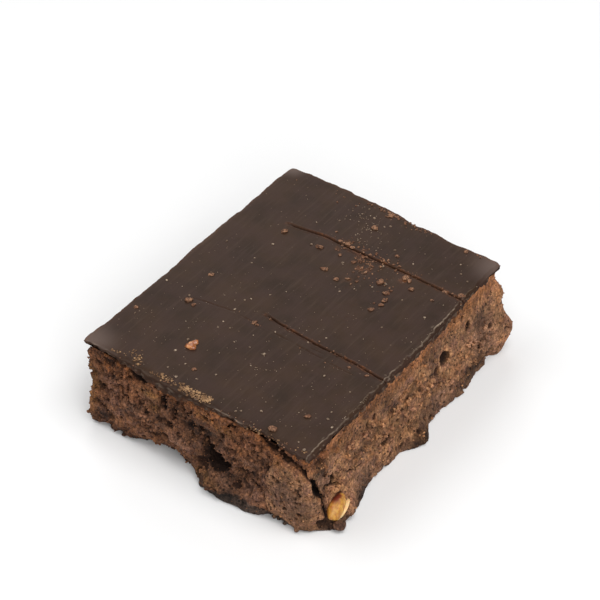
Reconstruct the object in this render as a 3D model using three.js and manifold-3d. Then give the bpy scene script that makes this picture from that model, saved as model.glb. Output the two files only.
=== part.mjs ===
// A chocolate brownie, in millimetres, +Z up: a square-cut slab of open, crumbly chocolate
// cake under a thin set coating of dark chocolate, with a piece of nut showing at one corner.
// The four sides are torn cut faces, so they carry pores, holes, lumps and a crack as relief.
// The origin is at the middle of the bounding box, on the surface that the slab rests on.

import * as THREE from 'three';
import { mergeVertices } from 'three/addons/utils/BufferGeometryUtils.js';
import Module from 'manifold-3d';

const wasm = await Module();
wasm.setup();

// Driving dimensions
const HEIGHT = 25;
const COATING_THICKNESS = 1.3;
const CAKE_HEIGHT = HEIGHT - COATING_THICKNESS;

// Corners of the slab at its top and its base, front left first, anticlockwise from above.
const TOP_CORNERS = [[-30.8, -36.8], [30.2, -37.2], [28.1, 37.9], [-30.0, 38.0]];
const BASE_CORNERS = [[-30.2, -37.0], [31.2, -36.6], [30.3, 38.3], [-30.6, 37.6]];
// Moves the middle of the bounding box onto the origin.
const CENTRE_SHIFT = [-1.66, -0.44];

// How finely the sides are divided
const POINTS_AROUND = 236;
const LEVELS = 19;
const SPINE_INSET = 13; // relief is pushed in and out from a rectangle this far inside the sides
const FOOT_INSET = 5; // width of the base's rim, which may lift off the surface

// Broad shapes of the sides: where, how far along and up they reach, and how far out they go.
const SWELLINGS = [
  { at: [-32, -37, 5], along: 8, up: 9, out: 1.3 },
  { at: [-13, -37, 0], along: 9.5, up: 8, out: -3.2 },
  { at: [4, -37, 1], along: 8, up: 8, out: 2.6 },
  { at: [15, -37, 1], along: 9, up: 7, out: 2.4 },
  { at: [31, -37, 2], along: 7, up: 12, out: -2.4 },
  { at: [31, -28, 0], along: 8, up: 8, out: 3.4 },
  { at: [31, -17, 0], along: 7, up: 7, out: 0.6 },
  { at: [30, 3, 0], along: 5.5, up: 5, out: 3.2 },
  { at: [30, 20, 0], along: 9, up: 6, out: 1.3 },
  { at: [30, 33.6, 1], along: 2.4, up: 4, out: -2.4 },
  { at: [29, 38, 6], along: 7, up: 9, out: 2.8 },
  { at: [12, 38, 1], along: 8, up: 7, out: -2.6 },
  { at: [-6, 38, 4], along: 7, up: 8, out: 1.4 },
  { at: [-30, 22, 0], along: 7, up: 6, out: 1.6 },
  { at: [-30, -6, 0], along: 9, up: 7, out: -2.8 },
  { at: [-30, -26, 3], along: 6, up: 8, out: 1.2 },
];

// Single holes torn in the sides: where, how wide and how deep.
const HOLES = [
  { at: [5.5, -37, 8.6], radius: 3.6, depth: 5.5 },
  { at: [2.6, -37, 12.2], radius: 2.2, depth: 3.0 },
  { at: [13, -37, 6.5], radius: 4.4, depth: 2.4 },
  { at: [-16.2, -37, 21.6], radius: 2.6, depth: 2.6 },
  { at: [-8.4, -37, 19.0], radius: 2.3, depth: 2.8 },
  { at: [-13.6, -37, 13.8], radius: 1.9, depth: 2.2 },
  { at: [-27.4, -37, 14.0], radius: 2.4, depth: 1.7 },
  { at: [30, 14.2, 15.0], radius: 2.6, depth: 3.6 },
  { at: [30, 10.4, 12.6], radius: 1.6, depth: 1.8 },
  { at: [30, -8.0, 7.4], radius: 2.5, depth: 2.8 },
  { at: [30, -14, 17.8], radius: 2.0, depth: 1.7 },
  { at: [30, 23.3, 18.0], radius: 2.0, depth: 2.2 },
  { at: [31.6, -33, 2.0], radius: 2.8, depth: 3.2 },
  { at: [18, 38, 12], radius: 3.0, depth: 3.6 },
  { at: [-14, 38, 17], radius: 2.4, depth: 2.6 },
  { at: [-30, 8, 9], radius: 3.2, depth: 3.8 },
  { at: [-30, -16, 16], radius: 2.3, depth: 2.4 },
];

// A crack runs under the coating to the front corner, then down the corner to the nut.
const CRACK_PATH = [
  [17.5, -37, 23.4],
  [23.5, -37, 21.9],
  [28.3, -36.4, 20.6],
  [30.2, -34.6, 15.6],
  [31.2, -33.2, 11.2],
];
const CRACK_WIDTH = 2.0;
const CRACK_DEPTH = 3.4;

// Scattered pores, the same all round
const PORES = { count: 110, radius: [1.4, 2.4], depth: [0.6, 1.7], seed: 7 };

// Unevenness of the torn crumb: spacing and height of each layer of noise
const ROUGHNESS = [{ spacing: 7, height: 0.75 }, { spacing: 2.8, height: 0.7 }];
const CRUMB_SETBACK = 0.4; // the crumb stands this far inside the coating's edge on average
const FOOT_LIFT = { spacing: 9, height: 0.9 };
const EDGE_WAVE = { spacing: 5, height: 0.4 };

// Knife marks in the coating, from a partial cut into portions
const SCORES = [
  { from: -4, to: 29.5, y: -7.6, halfWidth: 0.45, depth: 0.8 },
  { from: -20.5, to: 24, y: -10.9, halfWidth: 0.3, depth: 0.35 },
  { from: -18, to: 28.6, y: 22.7, halfWidth: 0.5, depth: 0.8 },
];

const NUT = { at: [32.3, -29.4, 6.6], halfSize: [2.3, 2.9, 4.9], lean: 0.12, turn: -Math.PI / 4 };
const NUT_GAP = 0.35;

const COLOURS = { cake: 0x6b4635, coating: 0x40322c, nut: 0xb97a2e };

function seededRandom(seed) {
  let state = seed;
  return () => {
    state = (Math.imul(state, 1664525) + 1013904223) >>> 0;
    return state / 2 ** 32;
  };
}

// A repeatable number from -1 to 1 for a point of the integer lattice
function latticeValue(i, j, k) {
  let h = Math.imul(i, 374761393) ^ Math.imul(j, 668265263) ^ Math.imul(k, 2147483647);
  h = Math.imul(h ^ (h >>> 13), 1274126177);
  return ((h ^ (h >>> 16)) >>> 0) / 2 ** 31 - 1;
}

function smoothStep(t) {
  return t * t * (3 - 2 * t);
}

// Smooth noise from -1 to 1 between the lattice points
function noise(x, y, z, spacing) {
  const cell = [x, y, z].map((c) => Math.floor(c / spacing));
  const share = [x, y, z].map((c, n) => smoothStep(c / spacing - cell[n]));
  let sum = 0;
  for (let corner = 0; corner < 8; corner++) {
    const step = [corner & 1, (corner >> 1) & 1, corner >> 2];
    const weight = step.reduce((w, s, n) => w * (s ? share[n] : 1 - share[n]), 1);
    sum += weight * latticeValue(cell[0] + step[0], cell[1] + step[1], cell[2] + step[2]);
  }
  return sum;
}

// The four corners at a height, between those of the base and those of the top
function cornersAt(z) {
  const share = z / HEIGHT;
  return BASE_CORNERS.map(([x, y], n) => new THREE.Vector2(
    THREE.MathUtils.lerp(x, TOP_CORNERS[n][0], share),
    THREE.MathUtils.lerp(y, TOP_CORNERS[n][1], share),
  ));
}

const sideLengths = cornersAt(0).map((c, n, all) => c.distanceTo(all[(n + 1) % 4]));
const perimeter = sideLengths.reduce((a, b) => a + b);
const sideCounts = sideLengths.map((length) => Math.round((POINTS_AROUND * length) / perimeter));

// Points spread evenly along the straight sides, the same number on a side at every height
function outlineAt(z) {
  const corners = cornersAt(z);
  return corners.flatMap((corner, n) => {
    const next = corners[(n + 1) % 4];
    return Array.from({ length: sideCounts[n] }, (_, i) => corner.clone().lerp(next, i / sideCounts[n]));
  });
}

// The way out of the slab: square to a side, and fanning round at a corner
function outward(point) {
  const inner = {
    x: THREE.MathUtils.clamp(point.x, BASE_CORNERS[0][0] + SPINE_INSET, BASE_CORNERS[1][0] - SPINE_INSET),
    y: THREE.MathUtils.clamp(point.y, BASE_CORNERS[0][1] + SPINE_INSET, BASE_CORNERS[2][1] - SPINE_INSET),
  };
  return new THREE.Vector2(point.x - inner.x, point.y - inner.y).normalize();
}

// A rounded bump or pit: 1 at its middle, 0 from its rim outwards
function dome(distance) {
  return distance < 1 ? 1 - smoothStep(distance) : 0;
}

function scatterPores() {
  const random = seededRandom(PORES.seed);
  const between = ([low, high]) => low + (high - low) * random();
  const outline = outlineAt(CAKE_HEIGHT / 2);
  return Array.from({ length: PORES.count }, () => {
    const point = outline[Math.floor(random() * outline.length)];
    const at = [point.x, point.y, random() * CAKE_HEIGHT];
    return { at, radius: between(PORES.radius), depth: between(PORES.depth) };
  });
}

const pits = [...HOLES, ...scatterPores()];
const crack = CRACK_PATH.map((p) => new THREE.Vector3(...p));

function distanceToCrack(point) {
  const nearest = new THREE.Vector3();
  return Math.min(...crack.slice(1).map((end, n) => {
    new THREE.Line3(crack[n], end).closestPointToPoint(point, true, nearest);
    return nearest.distanceTo(point);
  }));
}

// How far the torn side stands out from the flat cut at a point
function relief(x, y, z) {
  let out = 0;
  for (const s of SWELLINGS) {
    const along = Math.hypot(x - s.at[0], y - s.at[1]) / s.along;
    out += s.out * dome(Math.hypot(along, (z - s.at[2]) / s.up));
  }
  for (const layer of ROUGHNESS) {
    out += layer.height * noise(x, y, z, layer.spacing);
  }
  let pit = 0;
  for (const p of pits) {
    const distance = Math.hypot(x - p.at[0], y - p.at[1], z - p.at[2]) / p.radius;
    pit = Math.max(pit, p.depth * dome(distance));
  }
  pit = Math.max(pit, CRACK_DEPTH * dome(distanceToCrack(new THREE.Vector3(x, y, z)) / CRACK_WIDTH));
  return out - pit;
}

// The ring of vertices round the cake at a height
function cakeRing(z) {
  return outlineAt(z).map((point) => {
    const way = outward(point);
    const out = relief(point.x, point.y, z) - CRUMB_SETBACK;
    return new THREE.Vector3(point.x + way.x * out, point.y + way.y * out, z);
  });
}

// The base's rim: its outer edge lifts a little where crumbs have come away
function liftedFoot(ring) {
  return ring.map((p) => {
    const lift = FOOT_LIFT.height * Math.max(0, noise(p.x, p.y, 0, FOOT_LIFT.spacing));
    return new THREE.Vector3(p.x, p.y, lift);
  });
}

function footRing(ring) {
  return ring.map((p) => {
    const way = outward(p);
    return new THREE.Vector3(p.x - way.x * FOOT_INSET, p.y - way.y * FOOT_INSET, 0);
  });
}

// A closed body from rings of equal length, lowest first, with flat caps at both ends
function loft(rings) {
  const count = rings[0].length;
  const positions = rings.flat().flatMap((p) => [p.x, p.y, p.z]);
  const index = [];
  for (let r = 0; r + 1 < rings.length; r++) {
    for (let i = 0; i < count; i++) {
      const a = r * count + i;
      const b = r * count + ((i + 1) % count);
      index.push(a, b, b + count, a, b + count, a + count);
    }
  }
  const cap = (ring) => THREE.ShapeUtils.triangulateShape(ring.map((p) => new THREE.Vector2(p.x, p.y)), []);
  for (const [a, b, c] of cap(rings[0])) {
    index.push(a, c, b);
  }
  const top = (rings.length - 1) * count;
  for (const [a, b, c] of cap(rings.at(-1))) {
    index.push(top + a, top + b, top + c);
  }
  const geometry = new THREE.BufferGeometry();
  geometry.setAttribute('position', new THREE.Float32BufferAttribute(positions, 3));
  geometry.setIndex(index);
  return geometry;
}

function toSolid(geometry) {
  const bare = geometry.clone();
  bare.deleteAttribute('normal');
  bare.deleteAttribute('uv');
  const merged = mergeVertices(bare, 1e-4);
  return new wasm.Manifold(new wasm.Mesh({
    numProp: 3,
    vertProperties: new Float32Array(merged.attributes.position.array),
    triVerts: new Uint32Array(merged.index.array),
  }));
}

function toGeometry(solid) {
  const mesh = solid.getMesh();
  const geometry = new THREE.BufferGeometry();
  geometry.setAttribute('position', new THREE.BufferAttribute(mesh.vertProperties, 3));
  geometry.setIndex(new THREE.BufferAttribute(mesh.triVerts, 1));
  return geometry;
}

// The nut, or with a gap the socket that it sits in: an egg shape, flatter on one side
function nutGeometry(gap) {
  const geometry = new THREE.SphereGeometry(1, 20, 14);
  geometry.scale(...NUT.halfSize.map((half) => half + gap));
  geometry.rotateX(NUT.lean);
  geometry.rotateZ(NUT.turn);
  geometry.translate(...NUT.at);
  return geometry;
}

function cakeGeometry() {
  const rings = [];
  for (let level = 1; level <= LEVELS; level++) {
    rings.push(cakeRing((CAKE_HEIGHT * level) / LEVELS));
  }
  const edge = cakeRing(0);
  const solid = toSolid(loft([footRing(edge), liftedFoot(edge), ...rings]));
  return toGeometry(solid.subtract(toSolid(nutGeometry(NUT_GAP))));
}

// The coating follows the cut edges with a slight wave, and a knife has scored it.
function coatingGeometry() {
  const outline = outlineAt(HEIGHT).map((point) => {
    const out = EDGE_WAVE.height * noise(point.x, point.y, HEIGHT, EDGE_WAVE.spacing);
    return point.clone().addScaledVector(outward(point), out);
  });
  const slab = new THREE.ExtrudeGeometry(new THREE.Shape(outline), {
    depth: COATING_THICKNESS,
    bevelEnabled: false,
  });
  slab.translate(0, 0, CAKE_HEIGHT);
  return toGeometry(SCORES.reduce((solid, score) => solid.subtract(scoreSolid(score)), toSolid(slab)));
}

// A knife mark: a bar of diamond section lying in the top of the coating
function scoreSolid({ from, to, y, halfWidth, depth }) {
  const bar = new THREE.CylinderGeometry(1, 1, to - from, 4);
  bar.rotateZ(Math.PI / 2);
  bar.scale(1, halfWidth, depth);
  bar.translate((from + to) / 2, y, HEIGHT);
  return toSolid(bar);
}

function piece(name, geometry, colour, roughness) {
  const mesh = new THREE.Mesh(geometry, new THREE.MeshStandardMaterial({ color: colour, roughness, metalness: 0 }));
  mesh.name = name;
  return mesh;
}

const brownie = new THREE.Group();
brownie.add(piece('cake', cakeGeometry(), COLOURS.cake, 0.9));
brownie.add(piece('chocolate_coating', coatingGeometry(), COLOURS.coating, 0.45));
brownie.add(piece('nut', nutGeometry(0), COLOURS.nut, 0.4));
brownie.position.set(...CENTRE_SHIFT, 0);

export default brownie;
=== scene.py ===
"""The looks of a chocolate brownie: torn crumb, a scored chocolate coating, a nut and loose crumbs.

Lengths are in millimetres in the slab's own coordinates, as in the CAD source, until
add_mesh turns them into metres in the frame's coordinates.
"""
import math

import bmesh
import bpy
import numpy as np
from mathutils import Matrix, Vector


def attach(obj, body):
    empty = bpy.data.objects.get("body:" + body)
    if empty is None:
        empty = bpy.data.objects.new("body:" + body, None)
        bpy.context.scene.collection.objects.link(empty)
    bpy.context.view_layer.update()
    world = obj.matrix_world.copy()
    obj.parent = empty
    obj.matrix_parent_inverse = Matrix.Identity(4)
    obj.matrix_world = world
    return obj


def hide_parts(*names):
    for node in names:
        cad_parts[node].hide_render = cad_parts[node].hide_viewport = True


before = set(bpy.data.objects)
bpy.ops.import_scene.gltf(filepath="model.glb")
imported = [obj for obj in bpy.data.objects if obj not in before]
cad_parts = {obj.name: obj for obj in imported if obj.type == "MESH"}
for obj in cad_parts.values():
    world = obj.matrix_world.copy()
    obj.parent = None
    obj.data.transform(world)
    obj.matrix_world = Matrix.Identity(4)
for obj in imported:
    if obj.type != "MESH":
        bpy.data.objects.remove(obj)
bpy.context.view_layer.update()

# The slab, as in the CAD source
HEIGHT = 25.0
COATING_THICKNESS = 1.3
CAKE_HEIGHT = HEIGHT - COATING_THICKNESS
TOP_CORNERS = np.array([[-30.8, -36.8], [30.2, -37.2], [28.1, 37.9], [-30.0, 38.0]])
BASE_CORNERS = np.array([[-30.2, -37.0], [31.2, -36.6], [30.3, 38.3], [-30.6, 37.6]])
CENTRE_SHIFT = np.array([-1.66, -0.44, 0.0])
INNER_LOW = np.array([-17.2, -24.0])
INNER_HIGH = np.array([18.2, 25.3])
CRUMB_SETBACK = 0.4

# The camera, solved from the photo: it looks at a point of the floor from a distance
PICTURE_SIZE = 600
FOCAL_PIXELS = 2714.0
SENSOR = 36.0
CAMERA_PITCH = math.radians(42.39)
CAMERA_YAW = math.radians(36.87)
CAMERA_TARGET = np.array([-17.36, 23.45, 0.0])
CAMERA_DISTANCE = 640.5
CAMERA_BACK = np.array([
    math.sin(CAMERA_YAW) * math.cos(CAMERA_PITCH),
    -math.cos(CAMERA_YAW) * math.cos(CAMERA_PITCH),
    math.sin(CAMERA_PITCH),
])

# The studio: even surroundings, and round lights by azimuth, elevation and watts
AMBIENT = 0.2
LIGHT_DISTANCE = 1.2
LIGHT_SIZE = 0.8
LIGHTS = [(315, 35, 6.1), (0, 75, 6.6), (210, 55, 4.9), (0, 55, 3.6), (135, 35, 2.7)]

# Broad shapes of the sides: place, reach along and up, and how far they stand out
SWELLINGS = [
    ((-32, -37, 5), 8, 9, 1.3),
    ((-10, -37, -1), 13, 7, -4.8),
    ((5.5, -37, 1), 7.5, 8, 3),
    ((13.5, -37, 1), 8.5, 7, 2.5),
    ((13, -37, 7), 4.5, 4, -0.9),
    ((31, -37, 2), 7, 12, -1.3),
    ((31, -28, 0), 8, 8, 3.4),
    ((31, -21.5, 1), 6, 7, 1.7),
    ((31, -17, 0), 7, 7, 0.4),
    ((30, 1.9, 0), 6.2, 5, 3.6),
    ((30, 20, 0), 9, 6, 1),
    ((30, 33.6, 1), 2.4, 4, -2.4),
    ((29, 38, 6.5), 7, 9.5, 2.55),
    ((29.5, 37.5, 16.5), 7, 6.5, 1.2),
    ((12, 38, 1), 8, 7, -2.6),
    ((-6, 38, 4), 7, 8, 1.4),
    ((-30, 22, 0), 7, 6, 1.6),
    ((-30, -6, 0), 9, 7, -2.8),
    ((-30, -26, 3), 6, 8, 1.2),
    ((29.5, 0, 21), 20, 8, 0.5),
    ((-15, -37, 11.3), 7, 2.8, 1),
    ((-4, -37, 8.8), 7, 2.6, 1.2),
    ((22.5, -37, 0), 6, 6, -1.4),
    ((-11, -37, 23.5), 19, 3.4, -1.3),
    ((-31, -37, 22), 4, 4, 0.25),
]

# The left edge, at some heights, of the finely porous patch that stands out at the front
LEDGE_HEIGHTS = [0, 4.4, 6.3, 9.6, 12.1, 12.9, 13.4, 15, 18]
LEDGE_PLACES = [20.5, 18.9, 18.1, 19.1, 18.6, 18.2, 18.4, 19, 20.5]
LEDGE_DEPTH = 1.4

# Single holes in the sides: middle on the flat side, and half sizes along it, inward and up
HOLES = [
    ((5, -36.9, 8.8), (3.5, 7, 2.8)),
    ((2.6, -36.9, 11.8), (1.8, 5, 2.2)),
    ((1.2, -36.8, 6.2), (2.2, 1.6, 1.8)),
    ((15.4, -36.8, 7.8), (1.7, 1.4, 0.5)),
    ((11, -36.9, 5.2), (1.2, 1.2, 0.8)),
    ((19.2, -37, 15.5), (0.45, 1.6, 1.3)),
    ((-5.2, -36.9, 10.9), (0.7, 1.4, 0.7)),
    ((-0.9, -36.9, 13.6), (1.2, 2.2, 1)),
    ((2.4, -37, 20.5), (0.9, 1.8, 0.8)),
    ((7.2, -37, 18.3), (0.8, 1.6, 0.8)),
    ((9.7, -37, 22.3), (0.8, 1.4, 0.6)),
    ((-14.2, -36.9, 12.7), (1, 2, 1.3)),
    ((-9.3, -36.9, 18.1), (1.1, 2.6, 2.3)),
    ((-16.7, -36.9, 21.4), (2.8, 2.6, 1.3)),
    ((-28, -36.7, 19.6), (1.7, 1.5, 0.8)),
    ((-28.3, -36.8, 12.7), (1.8, 1.8, 1)),
    ((-6.6, -36.9, 16.8), (0.9, 1.8, 0.9)),
    ((-25.8, -36.8, 9.6), (0.7, 1.2, 0.7)),
    ((29.6, 15.8, 13.3), (1.8, 3.4, 1.9)),
    ((29.7, 12.4, 12), (1.2, 1.6, 1.3)),
    ((30.4, -7.7, 6.9), (1.8, 3, 1.2)),
    ((30.4, -10.4, 7.4), (1.1, 1.2, 0.6)),
    ((30.2, -3.5, 9.6), (0.7, 1.2, 0.5)),
    ((30.1, -1.7, 11.2), (0.6, 1, 0.6)),
    ((29.9, -2.2, 14.9), (0.4, 1.2, 0.9)),
    ((29.8, -0.6, 16), (0.4, 1.2, 1)),
    ((29.7, 0.6, 17), (0.35, 1, 0.7)),
    ((30.4, 0.8, 5.8), (0.7, 1, 0.5)),
    ((30.3, 13.6, 4), (0.7, 1, 0.6)),
    ((28.9, 22.8, 19.9), (0.6, 1.6, 0.7)),
    ((29.2, 25.1, 16), (1.1, 2.4, 1.5)),
    ((28.9, 19.9, 21.3), (0.35, 1.2, 1.2)),
    ((28.7, 30.9, 20), (0.4, 1.4, 1.4)),
    ((29.4, 33.4, 10.5), (0.6, 1.2, 0.8)),
    ((29.7, 26.3, 9.6), (0.5, 1.2, 1.1)),
    ((29.9, -11.8, 17.1), (0.7, 1.4, 0.9)),
    ((30, -14.7, 16.8), (0.7, 1.3, 1.2)),
    ((29.9, -22.6, 21.8), (0.8, 1.5, 0.8)),
    ((30.1, -25, 20.1), (0.8, 1.6, 0.7)),
    ((30.3, -26.7, 15.8), (0.5, 1.2, 0.6)),
    ((30.6, -28.3, 11.3), (1.3, 1.6, 0.7)),
    ((31.2, -32, 1.9), (2.5, 1.7, 1.5)),
    ((30.55, -29.8, 12.1), (2.6, 2.6, 1.5)),
    ((-6.3, -36.9, 17.9), (0.9, 1.8, 0.9)),
    ((-3.2, -36.9, 18.7), (1, 1.8, 0.7)),
    ((-8, -36.9, 11.9), (1.1, 1.5, 0.8)),
    ((12.4, -36.9, 9.8), (2.4, 1.8, 0.9)),
    ((18, 38, 12), (2.6, 3.4, 2.2)),
    ((-14, 38, 17), (2.1, 2.6, 1.7)),
    ((4, 38, 8), (1.6, 2.2, 1.3)),
    ((-30, 8, 9), (2.6, 3.6, 2.2)),
    ((-30, -16, 16), (1.9, 2.4, 1.6)),
    ((-30, 27, 12), (1.4, 2.2, 1.4)),
]

# Single lumps on the sides, given in the same way: middle, and half sizes along, outward and up
LUMPS = [
    ((0.1, -36.9, 11.4), (1.5, 1.3, 1.5)),
    ((16.6, -36.8, 6.2), (1.7, 1.1, 1.8)),
    ((30.7, -27.6, 8.8), (1.7, 1, 0.8)),
    ((31.3, -29.3, 1.5), (1.4, 1.3, 1.1)),
    ((30.9, -25.6, 3.2), (1.6, 1.3, 1.9)),
    ((9.2, -36.9, 17), (1.7, 0.9, 1.4)),
    ((4, -36.8, 3.2), (1.6, 0.9, 0.9)),
]

# The smooth baked base that shows along the front: places and heights
BASE_PLACES = [-4, 2, 8, 12, 18, 22, 28]
BASE_HEIGHTS = [0, 1.2, 3, 3.9, 3.2, 2, 0.8]

# Where the crumb's colour differs and where shade is painted on it: the middle on the flat side, and its
# reach along and up
GOLDEN_SPOTS = [
    ((-13.1, -36.9, 18.8), 4.4, 2.8),
    ((-11.7, -36.9, 15), 2.6, 2.2),
    ((-0.2, -36.8, 2.8), 2.8, 2),
    ((3.2, -36.8, 3.9), 2.8, 1.9),
    ((6.4, -36.8, 3.6), 2.2, 1.5),
    ((-30, -36.8, 12), 2, 12),
    ((2.2, -37, 20.6), 4, 2.2),
    ((7.6, -37, 20), 5, 2.2),
]
# The crumb's own pinkish hue; the first four spots, on the front ridge, are a painted highlight there
PINKISH_SPOTS = [
    ((-18, -36.9, 11.8), 5, 2.6),
    ((-10.4, -36.9, 11.1), 5, 2.4),
    ((-4.9, -36.9, 9.4), 4.5, 2.2),
    ((-0.3, -36.9, 7.3), 3, 2),
    ((14, -36.9, 13), 5, 2.4),
    ((25, -36.9, 9), 9, 11),
    ((29.6, 30, 10), 9, 11),
    ((30.3, -18, 4), 9, 5),
    ((30.1, 12, 4), 12, 4.5),
    ((30.5, -31, 15), 5, 5),
]
# Painted shade: the crumb darkened where it lies in shade, under the coating's edge, in pockets and cracks,
# round the nut and low along the sides
SHADED_SPOTS = [
    ((12.6, -36.9, 9.8), 3.8, 1.8),
    ((15.7, -36.8, 8), 2.4, 0.9),
    ((-16.8, -36.9, 21.4), 4.5, 1.7),
    ((-6, -36.9, 18.6), 5, 2.8),
    ((-1.5, -36.9, 15.5), 4, 3),
    ((-23, -36.9, 18), 3, 2),
    ((3.6, -36.9, 16.6), 3, 2),
    ((-19, -36.9, -0.5), 11, 5.5),
    ((-9, -36.9, 0.5), 9, 5),
    ((-4.5, -36.9, 3.2), 4.5, 3.6),
    ((3, -36.9, 1), 9, 3),
    ((-24, -36.9, 21.8), 6, 2),
    ((-26.5, -36.9, 4.4), 3.5, 2.4),
    ((9, -36.9, 7), 3, 2),
    ((30.5, -20, 1), 7, 4),
    ((30.2, 2, 1), 9, 3.4),
    ((29.8, 26, 3), 12, 3.4),
    ((30.5, -33.5, 18), 4, 4),
    ((30.6, -29.6, 11.1), 3.4, 1.8),
    ((31.2, -28.6, 4.7), 4, 4.6),
    ((8.5, -36.9, 2.6), 6, 2.6),
    ((30.9, -32.2, 6.5), 2, 4.5),
]

# Where the front is duskier all over, in the same way
DUSKY_SPOTS = [((9, -36.9, 5), 13, 12), ((2, -36.9, 16), 10, 8)]

# Cracks: how deep, and points on the flat sides with half widths. The first runs under the
# coating, down the front corner and on to the nut, the next two lie above the nut and left
# of it, and the last runs along the right side.
CRACKS = [
    (3.6, [
        ((17.2, -37.1, 23.4), 0.4),
        ((18.6, -37.1, 22.9), 1.2),
        ((20.3, -37.1, 22.3), 1.5),
        ((22.2, -37.1, 21.9), 1),
        ((23.6, -37.1, 21.4), 1.15),
        ((25.9, -37, 21.3), 0.9),
        ((27.9, -37, 21.3), 0.75),
        ((28.8, -36.9, 20.1), 0.45),
        ((29.7, -36.6, 18.7), 0.3),
        ((30.3, -35.2, 16.3), 0.55),
        ((30.5, -34.9, 13.7), 0.85),
        ((30.6, -33.8, 11.4), 0.7),
        ((30.7, -30.4, 8.4), 0.35),
    ]),
    (2, [
        ((30.6, -32, 12), 0.3),
        ((30.6, -30.2, 10.9), 0.5),
        ((30.6, -28.4, 10), 0.45),
        ((30.7, -26.4, 9), 0.2),
    ]),
    (1.6, [
        ((30.6, -33, 10.4), 0.3),
        ((30.8, -32.4, 8), 0.3),
        ((30.9, -31.9, 5.5), 0.3),
        ((31.1, -31.6, 3.4), 0.35),
    ]),
    (1.3, [
        ((30.6, -23.2, 10), 0.15),
        ((30.6, -19.8, 8.5), 0.3),
        ((30.5, -18, 8.2), 0.2),
        ((30.6, -16.1, 6.9), 0.1),
    ]),
]

# The nut in the corner, which leans back with the side: its parts' middles and half sizes,
# each across, outward and up along these three ways, and their lean
NUT_CENTRE = np.array([31.5, -28.6, 4.7])
NUT_ACROSS = np.array([0.394, 0.656, -0.645])
NUT_OUTWARD = np.array([0.853, 0, 0.521])
NUT_UP = np.array([-0.338, 0.756, 0.563])
NUT_BODY = ((0.15, 0, 0), (1.85, 1.6, 3.2), 0.2)
NUT_SLIVER = ((2.2, 0.2, 0.5), (0.5, 1.1, 1.9), 0.25)
NUT_ROOT = ((1, -1.2, 0.2), (2.6, 0.8, 2.3), 0)
NUT_GAP = 0.22

# The grids that the cake and the nut are worked out on, and how fine they stay
FIELD_LOW = np.array([-36.0, -42.0, -0.8])
FIELD_HIGH = np.array([36.5, 42.5, CAKE_HEIGHT + 0.8])
GRID_STEP = 0.35
NUT_STEP = 0.14
NUT_REACH = 6.2
CAKE_TRIANGLES = 190000
FLAT_EDGE = 6.5  # how far in from the sides one flat face fills the top and the base
FAR = 99.0  # further than any distance on the slab

# Lumps and pores strewn over the sides: how many are tried
LUMP_COUNT = 3600
PORE_COUNT = 4600

# Crumbs that cling to the sides: the ball's detail, how many, sizes, and the noise's seed
GRAIN_LOTS = [(1, 6400, 0.26, 0.5, 181), (2, 760, 0.45, 0.95, 182)]

# Knife marks in the coating: path, half width, depth, and how much of it is worn away
SCORES = [
    ([(-4.2, -6.7), (-0.5, -7.2), (3.9, -7.5), (10.7, -7.8), (19.6, -7.6), (29.2, -8.1)], 0.3, 0.75, 0),
    ([(-20.7, -12.5), (-17.3, -11.4), (-10.7, -10.3), (0.6, -10.4), (12, -10.7), (23.3, -11)],
     0.2, 0.14, 0.9),
    ([(1, -9.3), (8, -9.5), (17, -9.4), (24, -9.2)], 0.18, 0.1, 0.9),
    ([(-18.9, 20.6), (-9.5, 22.4), (-5, 22.3), (3, 22.6), (14.9, 23.1), (28.6, 23.2)], 0.36, 0.7, 0.15),
    ([(-2.6, 21.4), (3, 21.7), (8, 22.1)], 0.25, 0.3, 0.3),
    ([(8.9, 11.8), (9.2, 9.1), (10.3, 5), (11.9, 1)], 0.3, 0.06, 0.6),
    ([(5.2, 18.4), (4.6, 16), (6.2, 13.2)], 0.28, 0.12, 0.3),
]

# The coating's grid: its width and length, the stretches that the knife marks need finer, and
# how far in from the edges the rim's waves reach
COATING_WIDTH = 60.0
COATING_LENGTH = 75.0
FINE_STRETCHES = [(-8.3, -6.5, 0.13), (21.7, 23.5, 0.13), (-11.9, -9.0, 0.2), (20.2, 21.8, 0.2)]
RIM_FADE = 1.1

# The coating's wall, ring by ring: share of the way down, how far inward, and 1 where it's under the rim
WALL_RINGS = [(0.1, 0, 0), (0.25, 0, 0), (0.4, 0, 0), (0.55, 0, 0), (0.7, 0, 0), (0.85, 0, 0)]
WALL_RINGS += [(1, 0.05, 0), (1, 0.4, 0), (0, 0.8, 1)]

# The coating's rim: place along it, reach, and how far it stands out there
FRONT_RIM = [(-9, 12, 0.6), (18, 13, -0.8)]
RIGHT_RIM = [(2, 18, 0.5), (30, 10, -0.35), (-28, 8, -0.2)]
LEFT_RIM = [(-36, 7, 1), (6, 16, 0.55), (30, 20, 0.35)]
BACK_RIM = [(-6, 26, 0.8), (4.5, 5, -0.6), (27, 14, 0.75)]
EDGE_SLOPE = 0.6  # width of the strip that the knife pressed down along the right edge

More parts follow.
